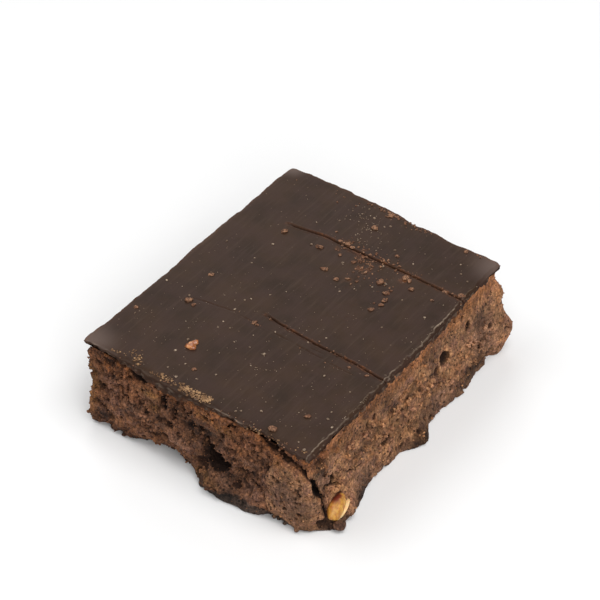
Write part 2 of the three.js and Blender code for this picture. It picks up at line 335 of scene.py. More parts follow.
# Brown crumbs on the coating: the pixel of the photo that shows each, length, width and turn
BROWN_CRUMBS = [
    (284.4, 231.1, 1.6, 1.3, 20), (320, 247, 2, 1.1, -20), (324.4, 269, 2, 1, -10),
    (211.2, 274.5, 1.2, 0.9, 0), (272.7, 429.1, 1.8, 1.7, 0), (307.9, 416.4, 1.4, 1, 10),
    (374.9, 228.1, 1.5, 1.3, 0), (391, 215.9, 2, 1.2, 30), (397.1, 256.1, 1, 0.8, 0),
    (405.8, 278.6, 1.7, 1.4, 20), (409.4, 281.2, 1.3, 1, 70), (411.6, 289.3, 1.4, 1, 0),
    (380.7, 282.5, 1.8, 1.4, 40), (385.6, 293.2, 1.5, 1.1, 0), (384.4, 300.8, 1.2, 1, 30),
    (381, 305, 1.1, 0.9, 0), (370.8, 309.7, 1.3, 1.1, 0), (336.6, 279.4, 1.2, 0.9, 0),
    (460.6, 296.2, 1.6, 1.2, 0), (445.3, 290.9, 1.2, 0.9, 0), (466, 251.8, 1.3, 0.9, 30),
    (254.5, 322.4, 1.4, 0.9, 30), (257, 325, 0.9, 0.7, 0), (188.3, 300.3, 1.7, 1.4, 0),
    (193.5, 304.7, 1, 0.8, 0), (135.8, 307, 1, 0.8, 0), (193.9, 369.1, 1, 0.8, 0),
    (347.3, 278.6, 1.3, 0.6, -20), (362, 267.5, 1.1, 0.6, 60), (365.4, 272.6, 1.2, 0.6, 60),
    (353.5, 262.3, 1.1, 0.8, 0), (362.7, 257.2, 1, 0.8, 0), (341, 241, 1.2, 0.7, -25),
    (347.5, 244, 1.4, 0.8, -25), (352.5, 247.6, 1.1, 0.7, 10), (432, 300.5, 0.8, 0.6, 0),
    (339.6, 255, 0.9, 0.7, 0), (357, 281, 0.9, 0.6, 0), (349, 367.4, 0.9, 0.6, -20),
    (366.4, 375.8, 1, 0.7, 0), (310.6, 341.6, 0.8, 0.5, -30), (429, 283.6, 0.9, 0.5, -20),
]

# Pale bits on the coating: pixel and size
PALE_BITS = [
    (234.6, 309.3, 1.1), (264.3, 354.1, 1.1), (261.2, 410.9, 1), (394.8, 250.3, 0.9), (413.2, 264.1, 0.8),
    (273, 243.9, 0.8), (226.7, 240.6, 0.8), (316.5, 222.2, 0.8), (339.7, 220.5, 0.7), (324.2, 375.8, 0.9),
    (215.8, 374.5, 0.8), (244.7, 299.9, 0.7), (250.9, 298.7, 0.7), (235.8, 411.2, 0.8), (241, 410.7, 0.6),
    (251.7, 262.5, 0.6), (254.6, 257.8, 0.6), (390.5, 226.3, 0.8), (384.4, 226.9, 0.7), (374.1, 217.9, 0.9),
    (460.9, 264.5, 0.7), (460.9, 274, 0.7), (467.5, 281.7, 0.8), (424.6, 317.4, 0.8), (381.8, 327.3, 0.7),
    (354.2, 288.9, 0.6), (339.7, 291.2, 0.7), (326.1, 337.9, 0.6), (307.9, 342.4, 0.7), (289.7, 331.5, 0.6),
    (275.2, 331.9, 0.6), (327.9, 350.3, 0.6), (327.9, 418.8, 0.9), (298.8, 441.8, 0.7), (304.2, 449.7, 1.1),
    (332.1, 427.3, 0.9), (175.8, 376.4, 0.9), (167.9, 367, 0.7), (197, 378.8, 0.8), (185.5, 363.6, 0.7),
    (175.4, 350.3, 0.8), (270, 294.8, 0.6), (249.7, 347.3, 0.6), (234.2, 341.8, 0.6), (253.3, 335.2, 0.6),
    (238.8, 331.2, 0.6), (230, 328, 0.6), (223.2, 321.4, 0.6), (218, 327, 0.6), (166.8, 280, 0.7),
    (311.4, 244, 0.9), (385.6, 284.3, 0.9), (383.3, 266.7, 0.9), (189.2, 295.2, 0.9), (134.9, 312.9, 0.8),
    (188, 339.4, 1.1), (350, 392, 0.7), (331.6, 411.8, 0.6), (372.4, 286.8, 0.6), (402, 300, 0.6),
]

# Groups of fine bits: the pixels of a stretch's two ends, its width in pixels, how many, and their sizes
PALE_GROUPS = [
    ((361, 212), (381, 221), 7, 14, (0.25, 0.5)),
    ((354, 234), (364, 243), 6, 9, (0.25, 0.45)),
    ((250, 368), (278, 371), 4, 10, (0.25, 0.5)),
    ((342, 261), (343, 266), 2, 4, (0.3, 0.5)),
    ((400, 366), (484, 281), 5, 46, (0.18, 0.36)),
    ((330, 429), (372, 394), 2, 12, (0.18, 0.34)),
    ((120, 345), (470, 270), 110, 130, (0.16, 0.34)),
    ((150, 280), (330, 420), 110, 110, (0.16, 0.34)),
    ((352, 208), (384, 244), 16, 60, (0.2, 0.5)),
]
BROWN_GROUPS = [
    ((330, 236), (402, 270), 9, 80, (0.25, 0.75)),
    ((350, 262), (392, 296), 20, 44, (0.25, 0.65)),
    ((354, 256), (376, 268), 4, 44, (0.25, 0.6)),
    ((368, 202), (432, 234), 2.5, 80, (0.25, 0.7)),
    ((402, 270), (464, 300), 5, 26, (0.25, 0.6)),
    ((268, 317), (384, 379), 4, 38, (0.2, 0.45)),
    ((236, 313), (352, 376), 5, 16, (0.2, 0.4)),
    ((297, 178), (497, 262), 6, 40, (0.25, 0.6)),
    ((104, 350), (215, 409), 4, 40, (0.2, 0.5)),
    ((215, 409), (297, 452), 5, 50, (0.2, 0.5)),
]
GOLD_GROUPS = [
    ((178, 386), (211, 401), 6, 200, (0.25, 0.8)),
    ((181, 387), (208, 399), 3, 10, (0.8, 1.4)),
    ((160, 375), (171, 381), 5, 34, (0.28, 0.6)),
    ((132, 349), (141, 363), 6, 44, (0.28, 0.65)),
    ((150, 370), (178, 385), 3, 30, (0.22, 0.5)),
    ((111, 349), (128, 355), 1.5, 14, (0.2, 0.4)),
    ((246, 425), (260, 432), 5, 26, (0.25, 0.5)),
    ((268, 435), (287, 444), 2, 22, (0.2, 0.38)),
    ((296, 448), (307, 453), 3, 14, (0.22, 0.45)),
]

# Two shiny crumbs that lie together: pixels, sizes and turns
SHINY_PIXELS = [(190.6, 346.2), (194.2, 343.2)]
SHINY_SIZES = [[2.4, 2.0, 0.95], [2.2, 1.5, 0.85]]
SHINY_TURNS = [15, 62]

# Films of crumb on the coating: pixel, reach and strength
CRUMBY_SPOTS = [
    ((343, 246), 2.6, 0.9),
    ((362, 267), 3.4, 0.6),
    ((363, 254), 2.4, 0.7),
    ((404, 280), 1.8, 0.7),
    ((345, 282), 3, 0.35),
]


def smooth_step(t):
    t = np.clip(t, 0.0, 1.0)
    return t * t * (3 - 2 * t)


def dome(distance):
    return 1 - smooth_step(distance)


def value_noise(points, spacing, seed):
    """Smooth noise from -1 to 1 with blobs of about the spacing."""
    size = 64
    table = np.random.default_rng(seed).uniform(-1, 1, (size, size, size)).astype(np.float32)
    scaled = points / spacing
    cell = np.floor(scaled).astype(np.int64)
    share = (scaled - cell).astype(np.float32)
    share = share * share * (3 - 2 * share)
    total = np.zeros(len(points), np.float32)
    for corner in range(8):
        step = np.array([corner & 1, (corner >> 1) & 1, corner >> 2])
        weight = np.prod(np.where(step, share, 1 - share), axis=1)
        i, j, k = ((cell + step) % size).T
        total += weight * table[i, j, k]
    return total


def cell_distance(points, spacing, seed):
    """Distance to the nearest of scattered seeds, in units of the spacing: about 0 to 1."""
    size = 32
    table = np.random.default_rng(seed).uniform(0.1, 0.9, (size, size, size, 3)).astype(np.float32)
    scaled = (points / spacing).astype(np.float32)
    cell = np.floor(scaled).astype(np.int64)
    nearest = np.full(len(points), 9.0, np.float32)
    for dx in (-1, 0, 1):
        for dy in (-1, 0, 1):
            for dz in (-1, 0, 1):
                near = cell + (dx, dy, dz)
                i, j, k = (near % size).T
                gap = near + table[i, j, k] - scaled
                nearest = np.minimum(nearest, np.einsum("ij,ij->i", gap, gap))
    return np.sqrt(nearest)


def corners_at(z):
    share = (np.asarray(z, float) / HEIGHT)[..., None, None]
    return BASE_CORNERS * (1 - share) + TOP_CORNERS * share


def side_distance(points):
    """How far the points are outside the flat cut sides: negative inside the slab."""
    corners = corners_at(points[:, 2])
    sides = []
    for n in range(4):
        start, end = corners[:, n], corners[:, (n + 1) % 4]
        along = (end - start) / np.linalg.norm(end - start, axis=1, keepdims=True)
        gap = points[:, :2] - start
        sides.append(gap[:, 0] * along[:, 1] - gap[:, 1] * along[:, 0])
    sides = np.stack(sides)
    sharpness = 1.6
    peak = sides.max(0)
    return peak + np.log(np.exp(sharpness * (sides - peak)).sum(0)) / sharpness


def outward(points):
    way = points[:, :2] - np.clip(points[:, :2], INNER_LOW, INNER_HIGH)
    return way / np.maximum(np.linalg.norm(way, axis=1, keepdims=True), 1e-6)


def porous_patch(points):
    """1 on the finely porous patch at the front, right of the ledge and under the crack."""
    ledge = np.interp(points[:, 2], LEDGE_HEIGHTS, LEDGE_PLACES)
    right = smooth_step((points[:, 0] - ledge) / 0.8)
    under = smooth_step((21.2 - points[:, 2]) / 2)
    return right * under * smooth_step((-30 - points[:, 1]) / 3)


def spot_reach(flat, place, along, up):
    """How far places on the flat sides are from a spot's middle, in units of its reach."""
    across = np.hypot(flat[:, 0] - place[0], flat[:, 1] - place[1]) / along
    return np.hypot(across, (flat[:, 2] - place[2]) / up)


def swelling(points):
    out = LEDGE_DEPTH * porous_patch(points) * dome((points[:, 0] - 24) / 10)
    for place, along, up, height in SWELLINGS:
        out += height * dome(spot_reach(points, place, along, up))
    return out


def flat_place(points, side):
    """The places on the flat cut sides that the points stand in front of."""
    flat = points.copy()
    flat[:, :2] -= outward(points) * side[:, None]
    return flat


def crack_depth(flat, form, deep, path):
    """How far the points are inside a crack of some depth."""
    nearest = np.full(len(flat), FAR)
    for (a, width_a), (b, width_b) in zip(path, path[1:]):
        a, b = np.array(a), np.array(b)
        share = np.clip((flat - a) @ (b - a) / ((b - a) @ (b - a)), 0, 1)
        width = width_a + (width_b - width_a) * share
        gap = np.linalg.norm(flat - a - share[:, None] * (b - a), axis=1) - width
        nearest = np.minimum(nearest, gap)
    return np.minimum(-nearest, form + deep)


def nut_distance(points, parts, grow=0.0):
    """About how far the points are outside the nut's parts, grown by some length."""
    gap = points - NUT_CENTRE
    across, out, up = gap @ NUT_ACROSS, gap @ NUT_OUTWARD, gap @ NUT_UP
    nearest = np.full(len(points), FAR)
    for (at_across, at_out, at_up), half, lean in parts:
        half_across, half_out, half_up = (size + grow for size in half)
        rise = (up - at_up) / half_up
        narrow = 1 - 0.16 * np.clip(rise, -1, 1)
        u = (across - at_across - lean * (up - at_up)) / (half_across * narrow)
        v = (out - at_out) / half_out
        reach = np.sqrt(u * u + v * v + rise * rise)
        nearest = np.minimum(nearest, half_across * (reach - 1))
    return nearest


def knife_cut(points):
    """1 where the side was cut clean and shows fine pores, 0 where it was torn into crumbs."""
    right = smooth_step((points[:, 0] - 24) / 4) * smooth_step((points[:, 1] + 33) / 4)
    return np.clip(np.maximum(right, porous_patch(points)), 0, 1)


def base_crust(points):
    """1 on the smooth baked base that shows along the front."""
    top = np.interp(points[:, 0], BASE_PLACES, BASE_HEIGHTS)
    return smooth_step((top - points[:, 2]) / 0.7) * smooth_step((-30 - points[:, 1]) / 3)


def spot_share(flat, spots):
    """1 in the middle of the nearest spot, 0 beyond its reach."""
    share = np.zeros(len(flat))
    for place, along, up in spots:
        share = np.maximum(share, dome(spot_reach(flat, place, along, up)))
    return share


def painted_hollow_shade(flat, form):
    """Where painted shade darkens the crumb: 1 well inside the holes and cracks, 0 outside them."""
    share = np.zeros(len(flat))
    for place, (along, inward, up) in HOLES:
        inside = smooth_step((1.4 - spot_reach(flat, place, along, up)) / 0.5)
        share = np.maximum(share, inside * min(1.0, inward / 2.6))
    for deep, path in CRACKS:
        gap = crack_depth(flat, np.full(len(flat), FAR), deep, path)
        share = np.maximum(share, smooth_step((gap + 0.4) / 0.4))
    for place, (along, _, up) in LUMPS:
        share = share * smooth_step(2.5 * (spot_reach(flat, place, along, up) - 0.8))
    return share * smooth_step((-0.15 - form) / 0.7)


def broad_form(points):
    """How far the points are outside the cake without its crumb, cracks and holes."""
    side = side_distance(points)
    form = side + CRUMB_SETBACK - swelling(flat_place(points, side)) + 0.5 * base_crust(points)
    return form - 0.55 * value_noise(points, 7.0, 11)


def lattice(first, spacing, counts):
    """The points of a regular grid, in the order of a field on it."""
    axes = [first[n] + spacing * np.arange(counts[n]) for n in range(3)]
    return np.stack(np.meshgrid(*axes, indexing="ij"), -1).reshape(-1, 3)


def crumb_field():
    """The cake as a signed field on the grid, negative inside."""
    counts = np.ceil((FIELD_HIGH - FIELD_LOW) / GRID_STEP).astype(int) + 1
    points = lattice(FIELD_LOW, GRID_STEP, counts)
    side = side_distance(points)
    field = np.full(len(points), -5.0, np.float32)
    field[side > 6] = 5.0
    band = np.nonzero(np.abs(side) < 6)[0]
    broad = broad_form(points[band])
    field[band] = broad

    fine_band = np.abs(broad) < 4.5
    band, broad = band[fine_band], broad[fine_band]
    near = points[band]
    field[band] = broad + crumb_relief(near)
    field = field.reshape(counts)
    scatter(field, LUMP_COUNT, True)
    scatter(field, PORE_COUNT, False)

    field = field.reshape(-1)
    field[band] = carved(field[band], near, flat_place(near, side[band]), broad)
    top = points[:, 2] - CAKE_HEIGHT
    lift = 0.9 * np.maximum(0, value_noise(points * (1, 1, 0), 9.0, 40)) * smooth_step(side / 5 + 1)
    bottom = lift - points[:, 2]
    return np.maximum(field, np.maximum(top, bottom)).reshape(counts)


def crumb_relief(near):
    """The crumb's own relief: lumpy where it was torn, nearly even where it was cut or baked."""
    clean = knife_cut(near)
    torn = (1 - clean) * (1 - 0.65 * base_crust(near))
    warp = np.stack([value_noise(near, 1.7, 20 + n) for n in range(3)], 1)
    warped = near + 0.6 * warp
    coarse = cell_distance(warped, 2.6, 31)
    middle = cell_distance(warped, 1.25, 32)
    rough = value_noise(near, 2.6, 33) + 0.7 * value_noise(near * (1, 1, 1.5), 5.0, 37)
    relief = torn * (0.6 * (coarse - 0.55) + 0.6 * (middle - 0.55) - 0.6 * rough)
    relief = relief + clean * (0.16 * (middle - 0.55) - 0.12 * rough)
    return relief - (0.12 + 0.1 * torn) * value_noise(near, 0.75, 34)


def carved(form, near, flat, broad):
    """The form with the single holes, lumps and cracks, and with the nut's socket."""
    wobble = 0.55 * value_noise(near, 1.5, 35) + 0.3 * value_noise(near, 0.7, 36)
    for place, (along, inward, up) in HOLES:
        reach = np.hypot(spot_reach(flat, place, along, up), broad / inward)
        hit = reach < 2.2
        size = min(along, up)
        pit = size * (1 - reach[hit]) + wobble[hit] * min(0.7, 0.4 * size)
        form[hit] = np.maximum(form[hit], pit)
    for place, (along, out, up) in LUMPS:
        reach = np.hypot(spot_reach(flat, place, along, up), (broad - 0.3) / out)
        hit = reach < 1.6
        lump = min(along, out, up) * (1 - reach[hit]) + 0.25 * wobble[hit]
        form[hit] = np.minimum(form[hit], -lump)
    for deep, path in CRACKS:
        widest = max(width for _, width in path)
        form = np.maximum(form, crack_depth(flat, broad, deep, path) + 0.4 * widest * wobble)
    return np.maximum(form, -nut_distance(near, [NUT_BODY, NUT_SLIVER, NUT_ROOT], NUT_GAP))


def scatter(field, count, lumps):
    """Adds lumps to the sides or cuts pores into them, more and larger ones where they were torn."""
    draw = np.random.default_rng(51 if lumps else 50)
    lengths = np.linalg.norm(BASE_CORNERS - np.roll(BASE_CORNERS, -1, 0), axis=1)
    start = draw.choice(4, count, p=lengths / lengths.sum())
    share = draw.uniform(0, 1, count)[:, None]
    z = draw.uniform(0.3, CAKE_HEIGHT, count)
    place = BASE_CORNERS[start] * (1 - share) + BASE_CORNERS[(start + 1) % 4] * share
    flat = np.column_stack([place, z])
    clean = knife_cut(flat) > 0.5
    chance = draw.uniform(0, 1, count)
    sink = draw.uniform(0, 1, count)
    if lumps:
        radius = 0.4 * draw.uniform(0.04, 1, count) ** (-0.3)
        radius = np.minimum(radius, np.where(clean, 0.5, 1.1))
        depth = (-0.05 - 0.65 * sink) * radius
        off_corners = np.linalg.norm(flat[:, None, :2] - BASE_CORNERS, axis=2).min(1) > 4
        keep = (chance < np.where(clean, 0.4, 1.0)) & off_corners
    else:
        radius = 0.36 * draw.uniform(0.02, 1, count) ** (-0.36)
        radius = np.minimum(radius, np.where(clean, 0.46, 0.8))
        depth = (0.3 - sink) * radius
        keep = chance < np.where(clean, 0.38, 0.15)
    middle = flat.copy()
    middle[:, :2] += outward(flat) * (swelling(flat) - CRUMB_SETBACK + depth)[:, None]
    half = radius[:, None] * draw.uniform(0.7, 1.4, (count, 3))

    side = 40
    block = lattice((0, 0, 0), GRID_STEP, (side, side, side))
    wobble = value_noise(block, 0.9, 52).reshape(side, side, side)
    start = draw.integers(0, side // 2, (count, 3))
    for n in np.nonzero(keep)[0]:
        i, j, k = start[n]
        stamp(field, middle[n], half[n], wobble[i:, j:, k:], lumps)


def stamp(field, centre, half, wobble, lump):
    """Adds one ragged lump to the field or cuts one ragged hollow into it."""
    reach_out = 1.35 * half
    first = np.maximum(np.floor((centre - reach_out - FIELD_LOW) / GRID_STEP).astype(int), 0)
    last = np.ceil((centre + reach_out - FIELD_LOW) / GRID_STEP).astype(int) + 1
    last = np.minimum(last, field.shape)
    if (last <= first).any():
        return
    lines = [FIELD_LOW[n] + GRID_STEP * np.arange(first[n], last[n]) for n in range(3)]
    x, y, z = ((lines[n] - centre[n]) / half[n] for n in range(3))
    reach = np.sqrt(x[:, None, None] ** 2 + y[None, :, None] ** 2 + z[None, None, :] ** 2)
    a, b, c = reach.shape
    depth = half.min() * (1 - reach + 0.35 * wobble[:a, :b, :c])
    block = field[first[0] : last[0], first[1] : last[1], first[2] : last[2]]
    if lump:
        np.minimum(block, -depth, out=block)
    else:
        np.maximum(block, depth, out=block)


def surface_net(field, low, step_length):
    """The surface where the field is zero: one vertex in each cell that it crosses, and quads."""
    inside = field < 0
    shape = np.array(field.shape) - 1
    steps = np.array([[n & 1, (n >> 1) & 1, n >> 2] for n in range(8)])
    cut = np.zeros(shape, np.int8)
    for a, b, c in steps:
        cut += inside[a : a + shape[0], b : b + shape[1], c : c + shape[2]]
    cells = np.argwhere((cut > 0) & (cut < 8))
    index = np.full(shape, -1, np.int64)
    index[tuple(cells.T)] = np.arange(len(cells))
    values = np.stack([field[tuple((cells + step).T)] for step in steps], 1)
    total = np.zeros((len(cells), 3))
    hits = np.zeros(len(cells))
    for a in range(8):
        for axis in range(3):
            b = a | (1 << axis)
            if b == a:
                continue
            crossed = (values[:, a] < 0) != (values[:, b] < 0)
            share = values[:, a] / np.where(crossed, values[:, a] - values[:, b], 1)
            spot = steps[a] + share[:, None] * (steps[b] - steps[a])
            total += np.where(crossed[:, None], spot, 0)
            hits += crossed
    vertices = low + step_length * (cells + total / hits[:, None])
    quads = []
    for axis in range(3):
        u, v = (axis + 1) % 3, (axis + 2) % 3
        here = [slice(1, -1)] * 3
        here[axis] = slice(0, -1)
        ahead = list(here)
        ahead[axis] = slice(1, None)
        leaving = inside[tuple(here)] & ~inside[tuple(ahead)]
        entering = ~inside[tuple(here)] & inside[tuple(ahead)]
        for mask, order in ((leaving, (0, 1, 2, 3)), (entering, (3, 2, 1, 0))):
            edge = np.argwhere(mask)
            edge += [0 if n == axis else 1 for n in range(3)]
            ring = []
            for du, dv in ((-1, -1), (0, -1), (0, 0), (-1, 0)):
                cell = edge.copy()
                cell[:, u] += du
                cell[:, v] += dv
                ring.append(index[tuple(cell.T)])
            quads.append(np.stack([ring[n] for n in order], 1))
    return vertices, np.concatenate(quads)


def largest_piece(vertices, quads):
    """Keeps the outer surface and drops loose scraps and sealed hollows."""
    label = np.arange(len(vertices))
    while True:
        low = label[quads].min(1)
        new = label.copy()
        for n in range(4):
            np.minimum.at(new, quads[:, n], low)
        new = new[new]
        if (new == label).all():
            break
        label = new
    names, counts = np.unique(label, return_counts=True)
    return used_part(vertices, quads[label[quads[:, 0]] == names[counts.argmax()]])


def used_part(vertices, faces):
    """The vertices that the faces use, and the faces numbered anew."""
    used = np.zeros(len(vertices), bool)
    used[faces] = True
    number = np.cumsum(used) - 1
    return vertices[used], number[faces]


def open_flat_middle(vertices, quads, z):
    """Leaves out the quads in the flat middle of the top or the base, so that one face can fill it."""
    spot = vertices[quads]
    flat = np.abs(spot[..., 2] - z).max(1) < 0.45
    low, high = BASE_CORNERS.min(0) + FLAT_EDGE, BASE_CORNERS.max(0) - FLAT_EDGE
    middle = ((spot[..., :2] > low) & (spot[..., :2] < high)).all((1, 2))
    return quads[~(flat & middle)]


def add_mesh(name, vertices, faces, material, **attributes):
    """A piece from vertices in millimetres, with a value for each vertex under each attribute's name."""
    mesh = bpy.data.meshes.new(name)
    placed = (np.asarray(vertices, float) + CENTRE_SHIFT) * 0.001
    faces = np.asarray(faces)
    mesh.vertices.add(len(placed))
    mesh.vertices.foreach_set("co", placed.astype(np.float32).ravel())
    mesh.loops.add(faces.size)
    mesh.loops.foreach_set("vertex_index", faces.ravel().astype(np.int32))
    mesh.polygons.add(len(faces))
    mesh.polygons.foreach_set("loop_start", np.arange(0, faces.size, faces.shape[1], dtype=np.int32))
    mesh.update(calc_edges=True)
    mesh.validate()
    add_attributes(mesh, **attributes)
    mesh.polygons.foreach_set("use_smooth", [True] * len(mesh.polygons))
    piece = bpy.data.objects.new(name, mesh)
    bpy.context.scene.collection.objects.link(piece)
    mesh.materials.append(material)
    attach(piece, "root")
    return piece


def add_attributes(mesh, **attributes):
    for key, values in attributes.items():
        layer = mesh.attributes.new(key, "FLOAT", "POINT")
        layer.data.foreach_set("value", np.asarray(values, np.float32))


def joined(lots):
    """Several lots of vertices and faces as one."""
    vertices, faces = zip(*lots)
    starts = np.cumsum([0] + [len(spots) for spots in vertices[:-1]])
    return np.concatenate(vertices), np.concatenate([f + start for f, start in zip(faces, starts)])


def fill_openings(piece):
    mesh = piece.data
    work = bmesh.new()
    work.from_mesh(mesh)
    rim = [edge for edge in work.edges if edge.is_boundary]
    made = bmesh.ops.holes_fill(work, edges=rim, sides=0)
    bmesh.ops.triangulate(work, faces=made["faces"], quad_method="BEAUTY", ngon_method="EAR_CLIP")
    for face in work.faces:
        face.smooth = True
    work.to_mesh(mesh)
    work.free()


def thin_out(piece, triangles):
    """Takes triangles away where the surface is flattest, down to a number."""
    now = sum(len(face.vertices) - 2 for face in piece.data.polygons)
    thin = piece.modifiers.new("thin", "DECIMATE")
    thin.ratio = min(1.0, triangles / now)
    made = bpy.data.meshes.new_from_object(piece.evaluated_get(bpy.context.evaluated_depsgraph_get()))
    piece.modifiers.clear()
    made.name = piece.name
    piece.data = made


def blurred(field, reach):
    """The field averaged over a cube of cells round each cell, three times over."""
    soft = np.clip(field, -3, 3).astype(np.float32)
    for _ in range(3):
        for axis in range(3):
            total = soft.copy()
            for step in range(1, reach + 1):
                total += np.roll(soft, step, axis) + np.roll(soft, -step, axis)
            soft = total / (2 * reach + 1)
    return soft


def sample(field, points):
    """The field's values at some points, in between its grid points."""
    scaled = (points - FIELD_LOW) / GRID_STEP
    cell = np.clip(np.floor(scaled).astype(int), 0, np.array(field.shape) - 2)
    share = scaled - cell
    total = np.zeros(len(points))
    for corner in range(8):
        step = np.array([corner & 1, (corner >> 1) & 1, corner >> 2])
        weight = np.prod(np.where(step, share, 1 - share), axis=1)
        total += weight * field[tuple((cell + step).T)]
    return total


def vertices_mm(mesh):
    spots = np.empty(3 * len(mesh.vertices), np.float32)
    mesh.vertices.foreach_get("co", spots)
    return spots.reshape(-1, 3).astype(float) * 1000 - CENTRE_SHIFT


def make_cake(material):
    """The cake, and what make_grains needs: its vertices, normals, cleanness and fine relief."""
    field = crumb_field()
    vertices, quads = largest_piece(*surface_net(field, FIELD_LOW, GRID_STEP))
    for z in (CAKE_HEIGHT, 0.0):
        quads = open_flat_middle(vertices, quads, z)
    piece = add_mesh("cake_crumb", *used_part(vertices, quads), material)
    fill_openings(piece)
    thin_out(piece, CAKE_TRIANGLES)
    mesh = piece.data
    spots = vertices_mm(mesh)
    flat = flat_place(spots, side_distance(spots))
    clean = knife_cut(spots)
    relief = broad_form(spots)
    fine = sample(blurred(field, 2), spots)
    # The hollows, the shaded spots, the fine relief and the base crust carry painted shade into the colour
    add_attributes(
        mesh, relief=relief, clean=clean, fine=fine, hollow=painted_hollow_shade(flat, relief),
        crust=base_crust(spots), patch=porous_patch(spots), golden=spot_share(flat, GOLDEN_SPOTS),
        pinkish=spot_share(flat, PINKISH_SPOTS), shaded=spot_share(flat, SHADED_SPOTS),
        dusky=spot_share(flat, DUSKY_SPOTS),
    )
    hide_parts("cake")
    normals = np.empty(3 * len(mesh.vertices), np.float32)
    mesh.vertices.foreach_get("normal", normals)
    return spots, normals.reshape(-1, 3), clean, fine, relief


def lumpy_balls(detail, count, draw, waves):
    """Uneven balls round the origin: the vertices ball by ball, and all their faces."""
    work = bmesh.new()
    bmesh.ops.create_icosphere(work, subdivisions=detail, radius=1)
    shape = np.array([vertex.co for vertex in work.verts])
    faces = np.array([[vertex.index for vertex in face.verts] for face in work.faces])
    work.free()
    local = np.repeat(shape[None], count, 0)
    seeds = (local + draw.uniform(0, 50, (count, 1, 3))).reshape(-1, 3)
    rough = sum(strength * value_noise(seeds, spacing, seed) for strength, spacing, seed in waves)
    number = (np.arange(count) * len(shape))[:, None, None]
    return local * (1 + rough.reshape(count, -1, 1)), (faces[None] + number).reshape(-1, 3)


def make_grains(cake, material):
    """Small crumbs that cling to the cake's sides, each a lumpy grain sunk a little into it."""
    spots, normals, clean, fine, relief = cake
    draw = np.random.default_rng(180)
    side = (spots[:, 2] > 0.6) & (spots[:, 2] < CAKE_HEIGHT - 0.5) & (relief > -1.6)
    side &= nut_distance(spots, [NUT_BODY, NUT_SLIVER]) > 1.2
    chosen = np.nonzero(side)[0]
    chance = 1.3 - 0.85 * clean[chosen] + 1.5 * np.clip(fine[chosen], 0, 0.4)
    chance *= (1 - 0.9 * base_crust(spots[chosen])) * smooth_step(spots[chosen, 2] / 2.5)
    lots, tones = [], []
    for detail, count, small, large, seed in GRAIN_LOTS:
        picked = draw.choice(chosen, count, replace=False, p=chance / chance.sum())
        size = small + (large - small) * draw.uniform(0, 1, count) ** 2
        size = np.where(clean[picked] > 0.5, np.minimum(size, 0.6), size)
        local, faces = lumpy_balls(detail, count, draw, [(0.3, 0.9, seed)])
        local = local * draw.uniform(0.7, 1.25, (count, 1, 3))
        middle = spots[picked] + normals[picked] * (0.12 * size)[:, None]
        middle[:, 2] = np.maximum(middle[:, 2], 0.62 * size)
        grains = local * size[:, None, None] / 2 + middle[:, None]
        lots.append((grains.reshape(-1, 3), faces))
        tone = draw.uniform(0, 1, count) * (0.6 + 0.4 * clean[picked])
        tones.append(np.repeat(tone, grains.shape[1]))
    piece = add_mesh("crumb_grains", *joined(lots), material, tone=np.concatenate(tones))


def path_distance(x, y, path):
    """Distance to a path on the top, and how far along the path the nearest point is."""
    nearest = np.full(x.shape, FAR)
    along = np.zeros(x.shape)
    gone = 0.0
    for (ax, ay), (bx, by) in zip(path, path[1:]):
        length = math.hypot(bx - ax, by - ay)
        share = np.clip(((x - ax) * (bx - ax) + (y - ay) * (by - ay)) / length**2, 0, 1)
        gap = np.hypot(x - ax - share * (bx - ax), y - ay - share * (by - ay))
        closer = gap < nearest
        nearest = np.where(closer, gap, nearest)
        along = np.where(closer, gone + share * length, along)
        gone += length
    return nearest, along


def noise_on_top(x, y, spacing, seed):
    points = np.stack([x.ravel(), y.ravel(), np.full(x.size, 0.37 * spacing)], 1)
    return value_noise(points, spacing, seed).reshape(x.shape)


def noise_along(along, spacing, seed):
    return noise_on_top(0 * along, along, spacing, seed)


def grid_lines(length, coarse, fine_zones):
    """Positions from 0 to the length, closer together in the zones (start, end, spacing)."""
    lines = [0.0]
    while lines[-1] < length:
        step = coarse
        for start, end, spacing in fine_zones:
            if start - coarse <= lines[-1] < end:
                step = min(step, spacing)
        lines.append(lines[-1] + step)
    return np.array(lines) * length / lines[-1]


def cut_scores(x, y, z, tints):
    """Cuts the knife marks: raised lips, grooves darkened with painted shade, and rusty crumb beside them.
    """
    for number, (path, half_width, depth, worn) in enumerate(SCORES):
        wander = 0.12 * noise_on_top(x, y, 1.6, 70 + number)
        gap, along = path_distance(x, y + wander, path)
        patch = noise_on_top(x, y, 3.0, 80 + number)
        present = 1 - worn * smooth_step(0.5 + 1.5 * patch)
        taper = smooth_step(along / 1.5)
        z -= depth * taper * present * np.clip(1.25 * (1 - gap / half_width), 0, 1)
        lip = np.exp(-(((gap - half_width - 0.12) / 0.12) ** 2))
        ragged = smooth_step(0.35 + noise_on_top(x, y, 0.7, 90 + number))
        z += 0.2 * depth * lip * ragged * present
        strength = min(1.0, 1.4 * depth) * present
        # Painted shade darkens the groove
        tints["painted_groove_shade"] += strength * taper * dome(gap / half_width)
        edge = np.exp(-(((gap - 1.1 * half_width) / (0.7 * half_width)) ** 2))
        tints["rust"] += strength * (0.1 + 0.75 * ragged * smooth_step(0.5 + 1.2 * patch)) * edge


